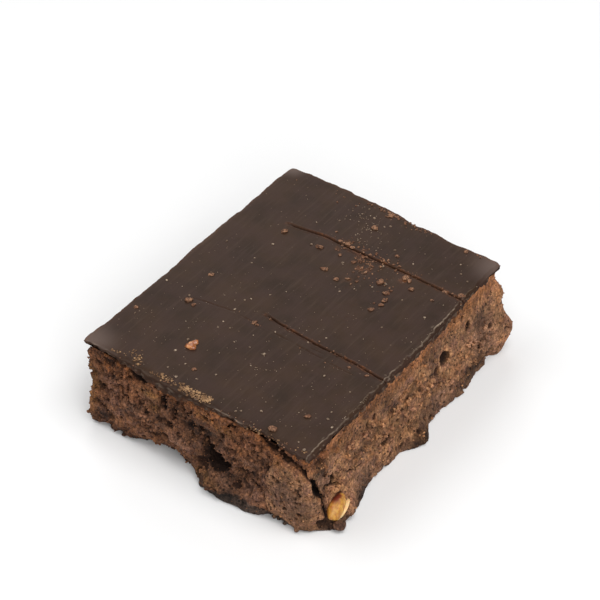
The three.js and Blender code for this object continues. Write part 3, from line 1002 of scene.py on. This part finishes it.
def break_edges(x, y, z, edges, tints):
    """Slopes the top down along the right edge, with pale broken lines there and along the front."""
    _, to_right, to_front, _ = edges
    fracture = EDGE_SLOPE + 0.34 * noise_along(y, 3.6, 100) + 0.3 * noise_along(y, 1.1, 101)
    fracture += 0.16 * noise_along(y, 0.6, 109)
    share = np.clip(1 - to_right / fracture, 0, 1)
    z -= 0.5 * share**0.8 + np.where(share > 0, 0.05, 0.0)
    line = np.exp(-(((to_right - fracture) / 0.08) ** 2))
    strong = smooth_step((30 - y) / 6) * (0.35 + 0.65 * smooth_step(0.4 + noise_along(y, 6.0, 103)))
    strong = strong * (0.4 + 0.6 * smooth_step(0.45 + 1.4 * noise_on_top(x, y, 0.7, 102)))
    z += 0.03 * line * strong
    tints["chalk"] += line * strong
    flake = smooth_step(4 * (noise_on_top(x, y, 0.6, 104) - 0.45)) * dome(to_right / 2.2)
    tints["chalk"] += 0.6 * flake * strong
    front_line = np.exp(-(((to_front - 0.3 - 0.15 * noise_along(x, 1.5, 105)) / 0.1) ** 2))
    present = smooth_step(1.6 * noise_along(x, 7.0, 106) + 0.3)
    present = present * smooth_step(0.4 + noise_along(x, 0.9, 107))
    tints["chalk"] += 0.8 * front_line * present * smooth_step((20 - x) / 4)


def round_edges(x, y, z, edges, tints):
    """Rounds the other three edges, lets three corners droop, and paints a pale sheen on them."""
    to_left, to_right, to_front, to_back = edges
    rounded = ((to_left, 110, 0.12, 0.35), (to_front, 111, 0.42, 0.6), (to_back, 112, 0.06, 0.35))
    for distance, seed, drop, reach in rounded:
        rounding = np.exp(-distance / reach)
        z -= rounding * (drop + 0.8 * drop * noise_on_top(x, y, 1.3, seed))
    drooping = (to_left, to_front, 9.0, 0.22), (to_right, to_back, 9.0, 0.08), (to_left, to_back, 5.0, 0.15)
    for near_x, near_y, reach, droop in drooping:
        corner = dome(np.hypot(near_x, near_y) / reach)
        z -= droop * corner**1.5
        # Painted sheen: the drooping corner lightened to a pale sheen
        tints["painted_corner_sheen"] += corner


def coating_top(x, y, edges):
    """The height of the coating's top and its tints: pale breaks, rusty crumb, painted shade in the grooves
    and a painted sheen on the drooping corners.
    """
    z = HEIGHT - 0.06 + 0.04 * noise_on_top(x, y, 14.0, 60) + 0.02 * noise_on_top(x, y, 3.5, 61)
    tints = {name: np.zeros(x.shape) for name in ("chalk", "rust", "painted_groove_shade", "painted_corner_sheen")}
    cut_scores(x, y, z, tints)
    for pixel, reach, strength in CRUMBY_SPOTS:
        place = on_top([pixel])[0]
        film = smooth_step(0.2 + 1.5 * noise_on_top(x, y, 1.0, 108))
        tints["rust"] += strength * film * dome(np.hypot(x - place[0], y - place[1]) / reach)
    to_left, to_right, to_front, to_back = edges
    tints["rust"] += 0.5 * np.exp(-np.minimum(to_left, to_back) / 0.22)
    break_edges(x, y, z, edges, tints)
    round_edges(x, y, z, edges, tints)
    tints["wall"] = np.exp(-np.minimum(to_front, to_right) / 0.18)
    return z, tints


def rim_wave(along, seed):
    """How far the coating's rim stands out, with small waves and a few bites."""
    wave = 0.28 * noise_along(along, 5.0, seed) + 0.22 * noise_along(along, 1.4, seed + 1)
    wave += 0.1 * noise_along(along, 0.5, seed + 2)
    return wave - 0.9 * np.clip(noise_along(along, 3.0, seed + 3) - 0.45, 0, 1)


def broad_rim(along, stretches):
    return sum(out * dome(np.abs(along - place) / reach) for place, reach, out in stretches)


def lip_depth(edge):
    """How far the rim hangs below the slab at each of its points: where the knife dragged it down."""
    x, y = edge[:, 0], edge[:, 1]
    ragged = value_noise(edge * (1, 1, 0), 2.4, 143) + 0.6 * value_noise(edge * (1, 1, 0), 0.8, 144)
    right = smooth_step((x - 26.5) / 1.5) * smooth_step((y + 37.5) / 3) * smooth_step((36 - y) / 4)
    front = smooth_step((-35 - y) / 1.0) * dome(np.abs(x + 9) / 18)
    ragged += 0.5 * value_noise(edge * (1, 1, 0), 0.45, 146)
    return 0.15 + right * (0.9 + 0.5 * ragged) + front * (1.5 + 0.5 * ragged)


def coating_plan():
    """Where the points of the coating's grid lie on the flat top, and how far each is from the edges."""
    half = COATING_LENGTH / 2
    fine = [(half + start, half + end, spacing) for start, end, spacing in FINE_STRETCHES]
    across = [(0, 1.2, 0.2), (COATING_WIDTH - 1.8, COATING_WIDTH, 0.11)]
    along = [(0, 1.4, 0.18), (COATING_LENGTH - 1.2, COATING_LENGTH, 0.2)]
    lines = grid_lines(COATING_WIDTH, 0.5, across), grid_lines(COATING_LENGTH, 0.3, along + fine)
    to_left, to_front = np.meshgrid(*lines, indexing="ij")
    u, v = to_left / COATING_WIDTH, to_front / COATING_LENGTH
    front_left, front_right, back_right, back_left = TOP_CORNERS
    front = (1 - u[..., None]) * front_left + u[..., None] * front_right
    back = (1 - u[..., None]) * back_left + u[..., None] * back_right
    spot = (1 - v[..., None]) * front + v[..., None] * back
    edges = u * COATING_WIDTH, (1 - u) * COATING_WIDTH, v * COATING_LENGTH, (1 - v) * COATING_LENGTH
    return spot[..., 0], spot[..., 1], edges


def ragged_plan(x, y, edges):
    """The plan with the rim moved out and in by its waves."""
    left, right, front, back = (np.exp(-distance / RIM_FADE) for distance in edges)
    x = x + right * (0.7 * rim_wave(y, 120) + broad_rim(y, RIGHT_RIM))
    x = x - left * (0.6 * rim_wave(y, 124) + broad_rim(y, LEFT_RIM))
    y = y + back * (rim_wave(x, 128) + broad_rim(x, BACK_RIM))
    y = y - front * (1.2 * rim_wave(x, 132) + broad_rim(x, FRONT_RIM))
    y = y + 0.5 * np.exp(-edges[2] / 0.5) * np.clip(noise_along(x, 1.1, 136) - 0.2, 0, 1)
    return x, y


def make_coating(material):
    """The coating: its top as a grid and its wall in rings. Gives the top's points for the crumbs."""
    x, y, edges = coating_plan()
    x, y = ragged_plan(x, y, edges)
    z, tints = coating_top(x, y, edges)

    rows, columns = x.shape
    number = np.arange(rows * columns).reshape(rows, columns)
    corners = [number[:-1, :-1], number[1:, :-1], number[1:, 1:], number[:-1, 1:]]
    quads = [np.stack(corners, -1).reshape(-1, 4)]
    top = np.stack([x, y, z], -1).reshape(-1, 3)
    rim = np.concatenate([number[:-1, 0], number[-1, :-1], number[:0:-1, -1], number[0, :0:-1]])
    edge = top[rim]
    along = np.roll(edge, -1, 0)[:, :2] - np.roll(edge, 1, 0)[:, :2]
    out = np.stack([along[:, 1], -along[:, 0]], 1) / np.linalg.norm(along, axis=1, keepdims=True)
    lip = CAKE_HEIGHT - lip_depth(edge)
    tints = {name: [np.clip(values, 0, 1).ravel()] for name, values in tints.items()}
    vertices, last, total = [top], rim, rows * columns
    for share, inward, under in WALL_RINGS:
        ring = edge.copy()
        ring[:, 2] = CAKE_HEIGHT - 0.06 if under else edge[:, 2] * (1 - share) + lip * share
        push = 0.02 + 0.26 * value_noise(ring, 1.1, 140) + 0.24 * value_noise(ring, 0.5, 141)
        push -= 0.25 * share
        ring[:, :2] += out * (push * min(1.0, 4 * share) * (1 - under) - inward)[:, None]
        vertices.append(ring)
        flecks = smooth_step(0.2 + 1.1 * value_noise(ring, 0.6, 142))
        rust = np.clip(1.3 * share - 0.6 + 0.9 * value_noise(ring, 0.8, 145), 0, 0.9)
        nothing = np.zeros(len(ring))
        chalk = 0.28 * flecks**2
        ring_tints = {"chalk": chalk, "rust": rust, "painted_groove_shade": nothing, "painted_corner_sheen": nothing, "wall": nothing + 1}
        for name, values in ring_tints.items():
            tints[name].append(values)
        new = total + np.arange(len(ring))
        quads.append(np.stack([np.roll(last, -1), last, new, np.roll(new, -1)], 1))
        last = new
        total += len(ring)
    tints = {name: np.concatenate(values) for name, values in tints.items()}
    piece = add_mesh("coating_slab", np.concatenate(vertices), np.concatenate(quads), material, **tints)
    fill_openings(piece)
    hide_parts("chocolate_coating")
    return top


def make_nut(material):
    """Half a nut with fine ridges, a rest of skin at its top and a pale broken edge."""
    first = NUT_CENTRE - NUT_REACH
    counts = [int(2 * NUT_REACH / NUT_STEP) + 1] * 3
    points = lattice(first, NUT_STEP, counts)
    ridges = np.stack([points @ NUT_ACROSS, points @ NUT_OUTWARD, 0.22 * points @ NUT_UP], 1)
    form = nut_distance(points, [NUT_BODY, NUT_SLIVER, NUT_ROOT])
    form += 0.12 * value_noise(ridges, 0.9, 150) + 0.26 * value_noise(points, 2.0, 151)
    vertices, quads = largest_piece(*surface_net(form.reshape(counts), first, NUT_STEP))
    gap = vertices - NUT_CENTRE
    across, up = gap @ NUT_ACROSS, gap @ NUT_UP
    ragged = 0.5 * value_noise(vertices, 0.8, 152)
    skin = smooth_step(-0.8 - across + 0.6 * np.clip(up, 0, 4) + ragged) * smooth_step(0.7 * up + 0.2)
    skin = np.maximum(skin, 0.8 * smooth_step(up - 2.3 + ragged))
    pale = smooth_step((across - 1.5 - 0.25 * (up - 0.5)) / 0.15)
    piece = add_mesh("roasted_nut", vertices, quads, material, skin=skin, pale=pale)
    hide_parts("nut")


def camera_axes():
    """The picture's ways to the right and up, in the slab's coordinates."""
    right = np.cross([0.0, 0.0, 1.0], CAMERA_BACK)
    right /= np.linalg.norm(right)
    return right, np.cross(CAMERA_BACK, right)


def on_top(pixels):
    """The places on the coating's top that pixels of the photo show."""
    right, up = camera_axes()
    offset = (np.asarray(pixels, float) - PICTURE_SIZE / 2) / FOCAL_PIXELS
    ray = offset[:, :1] * right - offset[:, 1:] * up - CAMERA_BACK
    start = CAMERA_TARGET + CAMERA_BACK * CAMERA_DISTANCE
    return (start + ray * ((HEIGHT - start[2]) / ray[:, 2:]))[:, :2]


def spread(groups, seed):
    """Places and sizes of the fine bits in some groups."""
    draw = np.random.default_rng(seed)
    places, sizes = [], []
    for start, end, width, count, (small, large) in groups:
        start, end = np.array(start, float), np.array(end, float)
        way = (end - start) / np.linalg.norm(end - start)
        share = draw.uniform(0, 1, (count, 1))
        off = draw.normal(0, 0.4 * width, (count, 1))
        places.append(on_top(start + share * (end - start) + off * [-way[1], way[0]]))
        sizes.append(small + (large - small) * draw.uniform(0, 1, count) ** 2)
    return np.concatenate(places), np.concatenate(sizes)


def lumps_on_top(surface, places, sizes, turns, detail, seed):
    """Lumpy grains lying on the coating, as vertices and faces; sizes are length, width and height."""
    on_slab = side_distance(np.column_stack([places, np.full(len(places), HEIGHT)])) < -0.1
    places, sizes, turns = places[on_slab], sizes[on_slab], turns[on_slab]
    draw = np.random.default_rng(seed)
    local, faces = lumpy_balls(detail, len(places), draw, [(0.4, 0.8, seed), (0.26, 0.38, seed + 1)])
    local = local * sizes[:, None] / 2
    cos, sin = np.cos(turns)[:, None], np.sin(turns)[:, None]
    x = local[..., 0] * cos - local[..., 1] * sin + places[:, :1]
    y = local[..., 0] * sin + local[..., 1] * cos + places[:, 1:]
    floor = np.array([surface[np.hypot(*(surface[:, :2] - place).T).argmin(), 2] for place in places])
    z = local[..., 2] + (floor + 0.22 * sizes[:, 2])[:, None]
    return np.stack([x, y, z], -1).reshape(-1, 3), faces


def make_bits(name, surface, lots, material):
    """One piece from several lots of grains."""
    piece = add_mesh(name, *joined([lumps_on_top(surface, *lot) for lot in lots]), material)


def grain_shapes(sizes, flatness, seed):
    """Lengths, widths, heights and turns for grains of some sizes."""
    draw = np.random.default_rng(seed)
    width = sizes * draw.uniform(0.6, 1.0, len(sizes))
    height = flatness * sizes * draw.uniform(0.7, 1.0, len(sizes))
    return np.stack([sizes, width, height], 1), draw.uniform(0, math.pi, len(sizes))


def make_crumbs(surface):
    """The loose crumbs on the coating: single ones from the lists, and groups of fine ones."""
    listed = np.array(BROWN_CRUMBS)
    sizes = np.stack([listed[:, 2], listed[:, 3], 0.55 * listed[:, 3]], 1)
    places, fine = spread(BROWN_GROUPS, 161)
    lots = [(on_top(listed[:, :2]), sizes, np.radians(listed[:, 4] + 37), 3, 160)]
    lots.append((places, *grain_shapes(fine, 0.6, 162), 2, 163))
    material = bit_material("brown_crumb", (108, 70, 48), (60, 38, 26), (150, 110, 82))
    make_bits("brown_crumbs", surface, lots, material)

    listed = np.array(PALE_BITS)
    places, fine = spread(PALE_GROUPS, 166)
    lots = [(on_top(listed[:, :2]), *grain_shapes(0.72 * listed[:, 2], 0.5, 164), 2, 165)]
    lots.append((places, *grain_shapes(fine, 0.5, 167), 1, 168))
    material = bit_material("pale_bit", (116, 96, 78), (82, 62, 48), (170, 150, 128))
    make_bits("pale_bits", surface, lots, material)

    places, fine = spread(GOLD_GROUPS, 169)
    lots = [(places, *grain_shapes(fine, 0.45, 170), 2, 171)]
    material = bit_material("golden_crumb", (118, 86, 56), (68, 45, 30), (166, 130, 92))
    make_bits("golden_crumbs", surface, lots, material)

    lots = [(on_top(SHINY_PIXELS), np.array(SHINY_SIZES), np.radians(SHINY_TURNS), 3, 172)]
    make_bits("nut_crumb", surface, lots, glossy_crumb_material())


class Nodes:
    """A material, and a short way to add and join its nodes."""

    def __init__(self, name, roughness, specular):
        self.material = bpy.data.materials.new(name)
        self.material.use_nodes = True
        self.tree = self.material.node_tree
        self.shader = self.tree.nodes["Principled BSDF"]
        self.shader.inputs["Roughness"].default_value = roughness
        self.shader.inputs["Specular IOR Level"].default_value = specular

    def finish(self, colour, normal=None):
        """Joins the colour and the relief to the shader, and gives the material."""
        self.feed(self.shader.inputs["Base Color"], colour)
        if normal is not None:
            self.feed(self.shader.inputs["Normal"], normal)
        return self.material

    def add(self, kind, settings=None, **inputs):
        node = self.tree.nodes.new(kind)
        for key, value in (settings or {}).items():
            setattr(node, key, value)
        for key, value in inputs.items():
            self.feed(node.inputs[key.replace("_", " ")], value)
        return node

    def feed(self, socket, value):
        if isinstance(value, bpy.types.NodeSocket):
            self.tree.links.new(value, socket)
        else:
            socket.default_value = value

    def math(self, operation, a, b):
        node = self.add("ShaderNodeMath", {"operation": operation})
        self.feed(node.inputs[0], a)
        self.feed(node.inputs[1], b)
        return node.outputs[0]

    def times(self, *values):
        total = values[0]
        for value in values[1:]:
            total = self.math("MULTIPLY", total, value)
        return total

    def ramp(self, value, low, high, low_result=0.0, high_result=1.0):
        """A smooth step as the value goes from low to high, which may be the smaller of the two."""
        node = self.add("ShaderNodeMapRange", {"interpolation_type": "SMOOTHSTEP"}, Value=value)
        for key, number in (
            ("From Min", low), ("From Max", high), ("To Min", low_result), ("To Max", high_result),
        ):
            node.inputs[key].default_value = number
        return node.outputs["Result"]

    def mix(self, share, a, b, blend="MIX"):
        node = self.add("ShaderNodeMix", {"data_type": "RGBA", "blend_type": blend})
        self.feed(node.inputs[0], share)
        self.feed(node.inputs[6], a)
        self.feed(node.inputs[7], b)
        return node.outputs[2]

    def grey(self, shade):
        return self.add("ShaderNodeCombineColor", Red=shade, Green=shade, Blue=shade).outputs[0]

    def attribute(self, name):
        return self.add("ShaderNodeAttribute", {"attribute_name": name}).outputs["Fac"]

    def place(self, x_spacing=1.0, y_spacing=None, z_spacing=None):
        """Where a point is on the object, in units of those spacings in millimetres."""
        spacings = (x_spacing, y_spacing or x_spacing, z_spacing or x_spacing)
        coordinate = self.add("ShaderNodeTexCoord").outputs["Object"]
        scale = self.add("ShaderNodeVectorMath", {"operation": "MULTIPLY"})
        self.tree.links.new(coordinate, scale.inputs[0])
        scale.inputs[1].default_value = [1000 / spacing for spacing in spacings]
        return scale.outputs[0]

    def noise(self, spacing, detail=2.0, roughness=0.5, stretched=None):
        where = self.place(*(stretched or (spacing,)))
        node = self.add("ShaderNodeTexNoise", Vector=where, Detail=detail, Roughness=roughness, Scale=1.0)
        return node.outputs["Fac"]

    def cells(self, spacing, feature="F1", warp=0.0):
        """Scattered cells: the distance to their middles or edges, and a random value for each."""
        where = self.place(spacing)
        if warp:
            bend = self.add("ShaderNodeTexNoise", Vector=where, Scale=0.8, Detail=2.0).outputs["Color"]
            push = self.add("ShaderNodeVectorMath", {"operation": "SCALE"}, Scale=warp)
            self.tree.links.new(bend, push.inputs[0])
            moved = self.add("ShaderNodeVectorMath", {"operation": "ADD"})
            self.tree.links.new(where, moved.inputs[0])
            self.tree.links.new(push.outputs[0], moved.inputs[1])
            where = moved.outputs[0]
        node = self.add("ShaderNodeTexVoronoi", {"feature": feature}, Vector=where, Scale=1.0)
        if feature == "DISTANCE_TO_EDGE":
            return node.outputs["Distance"], None
        tone = self.add("ShaderNodeSeparateColor", Color=node.outputs["Color"]).outputs[0]
        return node.outputs["Distance"], tone

    def bump(self, height, distance_mm, strength=1.0, normal=None):
        node = self.add("ShaderNodeBump", Strength=strength, Distance=distance_mm * 0.001, Height=height)
        if normal is not None:
            self.tree.links.new(normal, node.inputs["Normal"])
        return node.outputs["Normal"]


def srgb(red, green, blue):
    """A colour as read off a picture, 0 to 255, as the shader's linear values."""
    values = [c / 255 for c in (red, green, blue)]
    linear = [c / 12.92 if c <= 0.04045 else ((c + 0.055) / 1.055) ** 2.4 for c in values]
    return (*linear, 1.0)


def cake_material():
    nodes = Nodes("crumb", 0.85, 0.2)
    relief, clean, fine = (nodes.attribute(name) for name in ("relief", "clean", "fine"))
    patches = nodes.ramp(nodes.noise(5.0, 3.0, 0.6), 0.38, 0.64)
    clumps = nodes.ramp(nodes.noise(1.8, 3.0, 0.6), 0.38, 0.64)
    grain = nodes.noise(0.5, 3.0, 0.7)
    fibres = nodes.noise(1.0, 3.0, 0.65, (0.5, 0.5, 1.7))
    edge, _ = nodes.cells(1.1, "DISTANCE_TO_EDGE", 0.7)
    _, tone = nodes.cells(1.1, warp=0.7)
    pin, pin_size = nodes.cells(0.8, warp=0.4)
    # The pinholes: their bump, and painted shade that darkens them in the colour
    hole = nodes.math("SUBTRACT", nodes.times(pin_size, 0.42), pin)
    hole = nodes.ramp(hole, -0.02, 0.12, 0.0, 0.7)

    torn_colour = nodes.mix(patches, srgb(126, 81, 56), srgb(138, 98, 80))
    torn_colour = nodes.mix(nodes.times(clumps, 0.6), torn_colour, srgb(172, 117, 80))
    clean_colour = nodes.mix(patches, srgb(152, 106, 74), srgb(140, 98, 78))
    clean_colour = nodes.mix(nodes.times(clumps, 0.6), clean_colour, srgb(180, 134, 92))
    colour = nodes.mix(clean, torn_colour, clean_colour)
    warmth = nodes.noise(2.8, 3.0, 0.6)
    colour = nodes.mix(nodes.ramp(warmth, 0.52, 0.68, 0.0, 0.42), colour, srgb(158, 102, 56))
    colour = nodes.mix(nodes.ramp(warmth, 0.46, 0.32, 0.0, 0.42), colour, srgb(118, 84, 74))
    # Golden and pinkish tints; on the front ridge the pinkish tint is a painted highlight
    for spots, tint in (("golden", srgb(172, 122, 68)), ("pinkish", srgb(136, 102, 84))):
        share = nodes.times(nodes.attribute(spots), nodes.ramp(grain, 0.3, 0.6, 0.35, 0.8))
        colour = nodes.mix(share, colour, tint)
    colour = nodes.mix(nodes.times(nodes.attribute("dusky"), 0.68), colour, srgb(96, 70, 55))

    height = nodes.add("ShaderNodeSeparateXYZ", Vector=nodes.place()).outputs["Z"]
    ragged = nodes.math("ADD", height, nodes.times(nodes.noise(2.4, 3.0, 0.65), 7.0))
    under_coating = nodes.times(nodes.ramp(ragged, 20.5, 26.0), nodes.ramp(clumps, 0.0, 1.0, 0.4, 0.75))
    colour = nodes.mix(under_coating, colour, srgb(150, 90, 46))
    # Painted shade: the crumb darker and greyer towards the floor
    base = nodes.math("ADD", height, nodes.times(nodes.noise(3.0, 3.0, 0.6), 4.0))
    colour = nodes.mix(nodes.ramp(base, 6.0, 2.6, 0.0, 0.6), colour, srgb(84, 62, 52))
    # The smooth baked base: its own darker colour, with painted shade for the shadow it lies in
    colour = nodes.mix(nodes.times(nodes.attribute("crust"), 0.85), colour, srgb(86, 72, 64))

    # Painted shade: the shaded spots, the seams between granules and the pinholes darken the colour below;
    # the fine relief darkens pits with painted shade and lightens tips with painted light
    shaded = nodes.times(nodes.attribute("shaded"), nodes.ramp(clumps, 0.0, 1.0, 0.82, 0.58))
    painted_gap_shade = nodes.ramp(edge, 0.0, 0.14, 0.3, 0.0)
    shade = nodes.times(
        nodes.ramp(grain, 0.34, 0.66, 0.7, 1.3),
        nodes.ramp(clean, 0.0, 1.0, 0.6, 0.92),
        nodes.ramp(nodes.attribute("patch"), 0.0, 1.0, 1.0, 0.78),
        nodes.ramp(fibres, 0.34, 0.66, 0.7, 1.3),
        nodes.ramp(tone, 0.0, 1.0, 0.88, 1.12),
        nodes.ramp(fine, -0.3, 0.16, 0.5, 1.15),
        nodes.ramp(nodes.noise(7.0, 2.0, 0.5), 0.36, 0.64, 0.72, 1.26),
        *(nodes.math("SUBTRACT", 1.0, share) for share in (shaded, painted_gap_shade, hole)),
    )
    colour = nodes.mix(1.0, colour, nodes.grey(shade), "MULTIPLY")
    # Painted shade in the pits of the fine relief
    colour = nodes.mix(nodes.ramp(fine, -0.12, -0.4, 0.0, 0.4), colour, srgb(52, 26, 14))
    # Painted shade, nearly black, deep in the holes and cracks and below the broad form
    deep = nodes.math("MAXIMUM", nodes.ramp(relief, -0.8, -3.0, 0.0, 0.9), nodes.attribute("hollow"))
    colour = nodes.mix(nodes.times(deep, 0.94), colour, srgb(28, 16, 12))

    normal = nodes.bump(grain, 0.2, 0.9)
    normal = nodes.bump(fibres, 0.2, 0.8, normal)
    normal = nodes.bump(nodes.ramp(edge, 0.0, 0.3), 0.22, 0.8, normal)
    normal = nodes.bump(nodes.times(hole, -1.0), 0.22, 0.8, normal)
    return nodes.finish(colour, normal)


def grain_material():
    nodes = Nodes("clinging_crumbs", 0.85, 0.2)
    fine = nodes.noise(0.4, 3.0, 0.7)
    tone = nodes.attribute("tone")
    colour = nodes.mix(nodes.ramp(tone, 0.0, 0.6), srgb(78, 49, 35), srgb(124, 84, 58))
    colour = nodes.mix(nodes.ramp(tone, 0.6, 1.0), colour, srgb(182, 132, 92))
    colour = nodes.mix(1.0, colour, nodes.grey(nodes.ramp(fine, 0.35, 0.65, 0.75, 1.2)), "MULTIPLY")
    return nodes.finish(colour, nodes.bump(fine, 0.12, 0.8))


def coating_material():
    nodes = Nodes("dark_chocolate", 0.38, 0.12)
    flow = nodes.noise(9.0, 3.0, 0.55)
    streaks = nodes.noise(1.0, 3.0, 0.6, (0.9, 11.0, 1.0))
    colour = nodes.mix(nodes.ramp(flow, 0.3, 0.7), srgb(44, 30, 21), srgb(55, 38, 26))
    colour = nodes.mix(nodes.ramp(streaks, 0.48, 0.75, 0.0, 0.35), colour, srgb(74, 58, 48))
    cloud = nodes.noise(5.0, 2.0, 0.5)
    colour = nodes.mix(nodes.ramp(cloud, 0.35, 0.65, 0.0, 0.5), colour, srgb(56, 39, 33))
    speck, size = nodes.cells(1.1)
    dots = nodes.ramp(nodes.math("SUBTRACT", nodes.times(size, 0.2), speck), 0.02, 0.09, 0.0, 0.45)
    colour = nodes.mix(dots, colour, srgb(120, 98, 82))
    crumbly = nodes.ramp(nodes.noise(0.5, 3.0, 0.7), 0.35, 0.65)
    crumbly = nodes.mix(crumbly, srgb(74, 42, 27), srgb(140, 88, 54))
    # Painted sheen on the drooping corners
    colour = nodes.mix(nodes.attribute("painted_corner_sheen"), colour, srgb(92, 77, 70))
    rust, painted_groove_shade, wall, chalk = (nodes.attribute(name) for name in ("rust", "painted_groove_shade", "wall", "chalk"))
    # Crumb films, painted shade in the knife grooves, the wall's colour and pale breaks
    for tint_map, strength, tint in (
        (rust, 0.85, crumbly), (painted_groove_shade, 0.85, srgb(26, 15, 11)),
        (wall, 0.6, srgb(48, 30, 21)), (chalk, 0.75, srgb(160, 142, 124)),
    ):
        colour = nodes.mix(nodes.times(tint_map, strength), colour, tint)
    nodes.feed(nodes.shader.inputs["Roughness"], nodes.ramp(wall, 0.0, 1.0, 0.38, 0.85))
    normal = nodes.bump(nodes.noise(0.5, 3.0, 0.6), 0.02, 0.6)
    return nodes.finish(colour, nodes.bump(streaks, 0.03, 0.6, normal))


def nut_material():
    nodes = Nodes("roasted_nut", 0.42, 0.35)
    nodes.shader.inputs["Subsurface Weight"].default_value = 0.15
    nodes.shader.inputs["Subsurface Scale"].default_value = 0.001
    streaks = nodes.noise(1.0, 3.0, 0.6, (0.7, 0.7, 3.0))
    patches = nodes.noise(1.6, 3.0, 0.6)
    colour = nodes.mix(nodes.ramp(streaks, 0.35, 0.65), srgb(198, 146, 66), srgb(168, 112, 46))
    colour = nodes.mix(nodes.ramp(patches, 0.5, 0.72, 0.0, 0.4), colour, srgb(180, 92, 44))
    colour = nodes.mix(nodes.attribute("skin"), colour, srgb(112, 48, 32))
    colour = nodes.mix(nodes.attribute("pale"), colour, srgb(228, 190, 134))
    normal = nodes.bump(nodes.noise(0.4, 3.0, 0.6), 0.06, 0.6)
    return nodes.finish(colour, nodes.bump(streaks, 0.12, 0.7, normal))


def bit_material(name, body, dark, light):
    """Loose bits of cake: a body colour that varies from grain to grain and within each."""
    nodes = Nodes(name, 0.7, 0.3)
    broad = nodes.ramp(nodes.noise(2.3, 2.0, 0.5), 0.35, 0.65)
    fine = nodes.noise(0.35, 3.0, 0.7)
    colour = nodes.mix(broad, srgb(*body), srgb(*light))
    colour = nodes.mix(nodes.ramp(fine, 0.56, 0.4), colour, srgb(*dark))
    return nodes.finish(colour, nodes.bump(fine, 0.12, 0.8))


def glossy_crumb_material():
    nodes = Nodes("moist_crumb", 0.22, 0.6)
    patches = nodes.noise(0.9, 3.0, 0.6)
    colour = nodes.mix(nodes.ramp(patches, 0.38, 0.62), srgb(138, 78, 42), srgb(196, 134, 86))
    return nodes.finish(colour, nodes.bump(patches, 0.1, 0.6))


def floor_material():
    nodes = Nodes("pale_floor", 0.9, 0.1)
    mottle = nodes.ramp(nodes.noise(40.0, 2.0, 0.5), 0.3, 0.7)
    return nodes.finish(nodes.mix(mottle, (0.78, 0.78, 0.78, 1), (0.79, 0.79, 0.79, 1)))


def make_floor():
    mesh = bpy.data.meshes.new("floor")
    reach = 3.0
    corners = [(-reach, -reach, 0), (reach, -reach, 0), (reach, reach, 0), (-reach, reach, 0)]
    mesh.from_pydata(corners, [], [(0, 1, 2, 3)])
    floor = bpy.data.objects.new("floor", mesh)
    bpy.context.scene.collection.objects.link(floor)
    mesh.materials.append(floor_material())


def make_camera():
    data = bpy.data.cameras.new("camera")
    data.sensor_width = SENSOR
    data.lens = SENSOR * FOCAL_PIXELS / PICTURE_SIZE
    data.clip_end = 20
    camera = bpy.data.objects.new("camera", data)
    bpy.context.scene.collection.objects.link(camera)
    back = Vector(CAMERA_BACK)
    target = Vector((CAMERA_TARGET + CENTRE_SHIFT) * 0.001)
    turn = back.to_track_quat("Z", "Y").to_matrix().to_4x4()
    camera.matrix_world = Matrix.Translation(target + back * CAMERA_DISTANCE * 0.001) @ turn
    bpy.context.scene.camera = camera


def add_light(azimuth, elevation, watts):
    """A soft round light that faces the slab from a direction, in degrees."""
    name = f"light_{azimuth}_{elevation}"
    level = LIGHT_DISTANCE * math.cos(math.radians(elevation))
    place = Vector((
        level * math.cos(math.radians(azimuth)),
        level * math.sin(math.radians(azimuth)),
        LIGHT_DISTANCE * math.sin(math.radians(elevation)),
    ))
    data = bpy.data.lights.new(name, "AREA")
    data.shape = "DISK"
    data.size = LIGHT_SIZE
    data.energy = watts
    light = bpy.data.objects.new(name, data)
    bpy.context.scene.collection.objects.link(light)
    light.matrix_world = Matrix.Translation(place) @ place.to_track_quat("Z", "Y").to_matrix().to_4x4()


def make_light():
    """A plain soft studio: pale surroundings and wide round lights."""
    world = bpy.data.worlds.new("studio")
    world.use_nodes = True
    background = world.node_tree.nodes["Background"]
    background.inputs["Color"].default_value = (1, 1, 1, 1)
    background.inputs["Strength"].default_value = AMBIENT
    bpy.context.scene.world = world
    for azimuth, elevation, watts in LIGHTS:
        add_light(azimuth, elevation, watts)
    view = bpy.context.scene.view_settings
    view.view_transform = "Standard"
    view.look = "None"


make_camera()
make_light()
make_floor()
make_grains(make_cake(cake_material()), grain_material())
coating_surface = make_coating(coating_material())
make_nut(nut_material())
make_crumbs(coating_surface)
